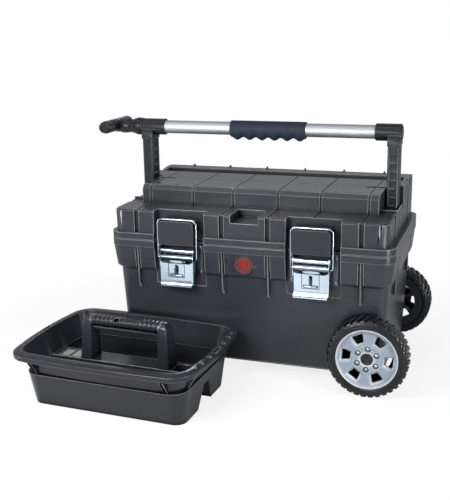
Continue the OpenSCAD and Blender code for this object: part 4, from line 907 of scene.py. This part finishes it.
def cross_grip_mesh():
    rings = []
    for i in range(4):
        start = -62 + 5.5 * i
        rings += [(12.2, start), (13.4, start + 1.2), (13.4, start + 3.4), (12.2, start + 4.4)]
    back = [(r, -11 - h) for r, h in reversed(rings)]
    profile = [(0, -65), (11.6, -65), (12.4, -64.2)] + rings + [(13.4, -38), (13.5, -5), (13.4, 26)]
    profile += [(r, h) for r, h in back if h > 28] + [(12.4, 53.2), (11.6, 54), (0, 54)]
    bm = bmesh.new()
    turned(bm, profile, 72)
    upright = Matrix.Translation(spot(-349.5, 0, 468)) @ Matrix.Rotation(-math.pi / 2, 4, "X")
    return set_down("pull_grip", bm, upright)


put("lock_ring", lock_ring_mesh(), black_fitting, "lock_collar", "fitting_plastic", "lock_collar")
put("pull_stem", stem_mesh(), black_fitting, "tow_handle", "fitting_plastic", "tow_stem")
put("pull_grip", cross_grip_mesh(), black_fitting, "tow_handle", "fitting_plastic", "tow_grip")
dress("pull_caps", "tow_caps", 0.0008, black_fitting, "tow_handle", "fitting_plastic")

# Release buttons. Two black sliders in the platform that hold the arms up.
for side in ("left", "right"):
    dress(side + "_button", "release_button_" + side, 0.0006, black_fitting, "release_button_" + side,
          "fitting_plastic")

# Tray. A loose tote moulded in the same plastic as the case, with a bowed lip, holes along its ends,
# a ridge with small pockets and a notch under it.
# The tray takes a darker copy of the case plastic: painted shade
tray_stuff = moulded("tray_moulding", (0.0098, 0.0103, 0.0135), roughness=0.22, edge_highlight_and_wear=1.0, edge=0.0014,
                     gloss=0.26)
dress("tray_body", "tray", 0.0012, tray_stuff, "tray", "tray_plastic", 0.002)

# Tray handle. Moulded with the tray: two broad legs with rounded shoulders, a rounded bar with two
# groups of finger pads, a hole and a sunk field between them, and a slimmer roll below.
tray_low, tray_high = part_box("tray")
tray_place = Matrix.Translation(Vector(((tray_low.x + tray_high.x) / 2, (tray_low.y + tray_high.y) / 2, 0))) \
    @ Matrix.Rotation(math.radians(-2), 4, "Z")


def round_bar(half, low, high, grown=0.0, count=40, power=2.6):
    """Outline in Y and Z of a bar that is rounder above than below."""
    middle, tall = (low + high) / 2, (high - low) / 2 + grown
    outline = []
    for k in range(count):
        a = 2 * math.pi * k / count
        c, d = math.cos(a), math.sin(a)
        outline.append(((half + grown) * math.copysign(abs(c) ** (2 / power), c),
                        middle + tall * math.copysign(abs(d) ** (2 / power), d)))
    return outline


def bar_stations():
    """Places along the bar with how far it stands out there: five finger pads near either end."""
    pad = ((0, -0.4), (0.3, 0.35), (1.1, 0.85), (2.2, 1.0), (6.4, 1.0), (7.5, 0.85), (8.3, 0.35), (8.6, -0.4))
    stations = [(-76, 0.0)]
    for start in (-73.6, 29.4):
        for k in range(5):
            stations += [(start + 9.5 * k + x, grown) for x, grown in pad]
    return stations + [(77.2, 0.0)]


def handle_mesh():
    bm = bmesh.new()
    joined(bm, [[(x, y, z) for y, z in round_bar(13.6, 138, 155, grown)]
                for x, grown in bar_stations()])
    cutter = bmesh.new()
    field = rounded_outline([(-11, -12), (27, -12), (27, -2), (-11, -2)], 2.5)
    joined(cutter, [[(x, y, 152.6 + 0.25 * (y + 2)) for x, y in field], [(x, y, 160) for x, y in field]])
    hole = bmesh.new()
    turned(hole, [(0, -9), (5.4, -9), (5.4, 9), (0, 9)], 32)
    hole.transform(Matrix.Translation((-18.5, -9.5, 153)) @ Matrix.Rotation(math.radians(38), 4, "X"))
    bmesh.ops.recalc_face_normals(hole, faces=hole.faces)
    merged(cutter, hole)
    bm = cut_away(bm, cutter)
    roll = bmesh.new()
    joined(roll, [[(x, y, z) for y, z in round_bar(10.5, 125, 138.5, grown, power=2.2)]
                  for x, grown in ((-76, 0), (-70, -1.2), (70, -1.2), (76, 0))])
    merged(bm, roll)
    for s in (-1, 1):
        leg = bmesh.new()
        side = [(-22, 67.5), (-19.4, 100), (-17.4, 132), (-16.4, 143)]
        side += [(-16.2 * math.cos(math.radians(a)), 144 + 11.9 * math.sin(math.radians(a)))
                 for a in range(0, 91, 9)]
        side += [(-y, z) for y, z in reversed(side[:-1])]
        joined(leg, [[(s * (96 - 0.07 * (z - 68) - 0.9 * max(0, z - 150)), y, z) for y, z in side],
                     [(s * (73 - 0.02 * (z - 68)), y, z) for y, z in side]])
        bmesh.ops.recalc_face_normals(leg, faces=leg.faces)
        rounded_off(leg, 2.2, 50, 3)
        merged(bm, leg)
    return set_down("tray_arch", bm, tray_place)


# The handle takes a lighter copy of the tray plastic it is moulded with: painted light
arch_stuff = moulded("tray_arch_moulding", (0.013, 0.0135, 0.0175), roughness=0.22, edge_highlight_and_wear=0.3, edge=0.0008,
                     gloss=0.34)
put("tray_arch", handle_mesh(), arch_stuff, "tray", "tray_plastic", "tray_handle")
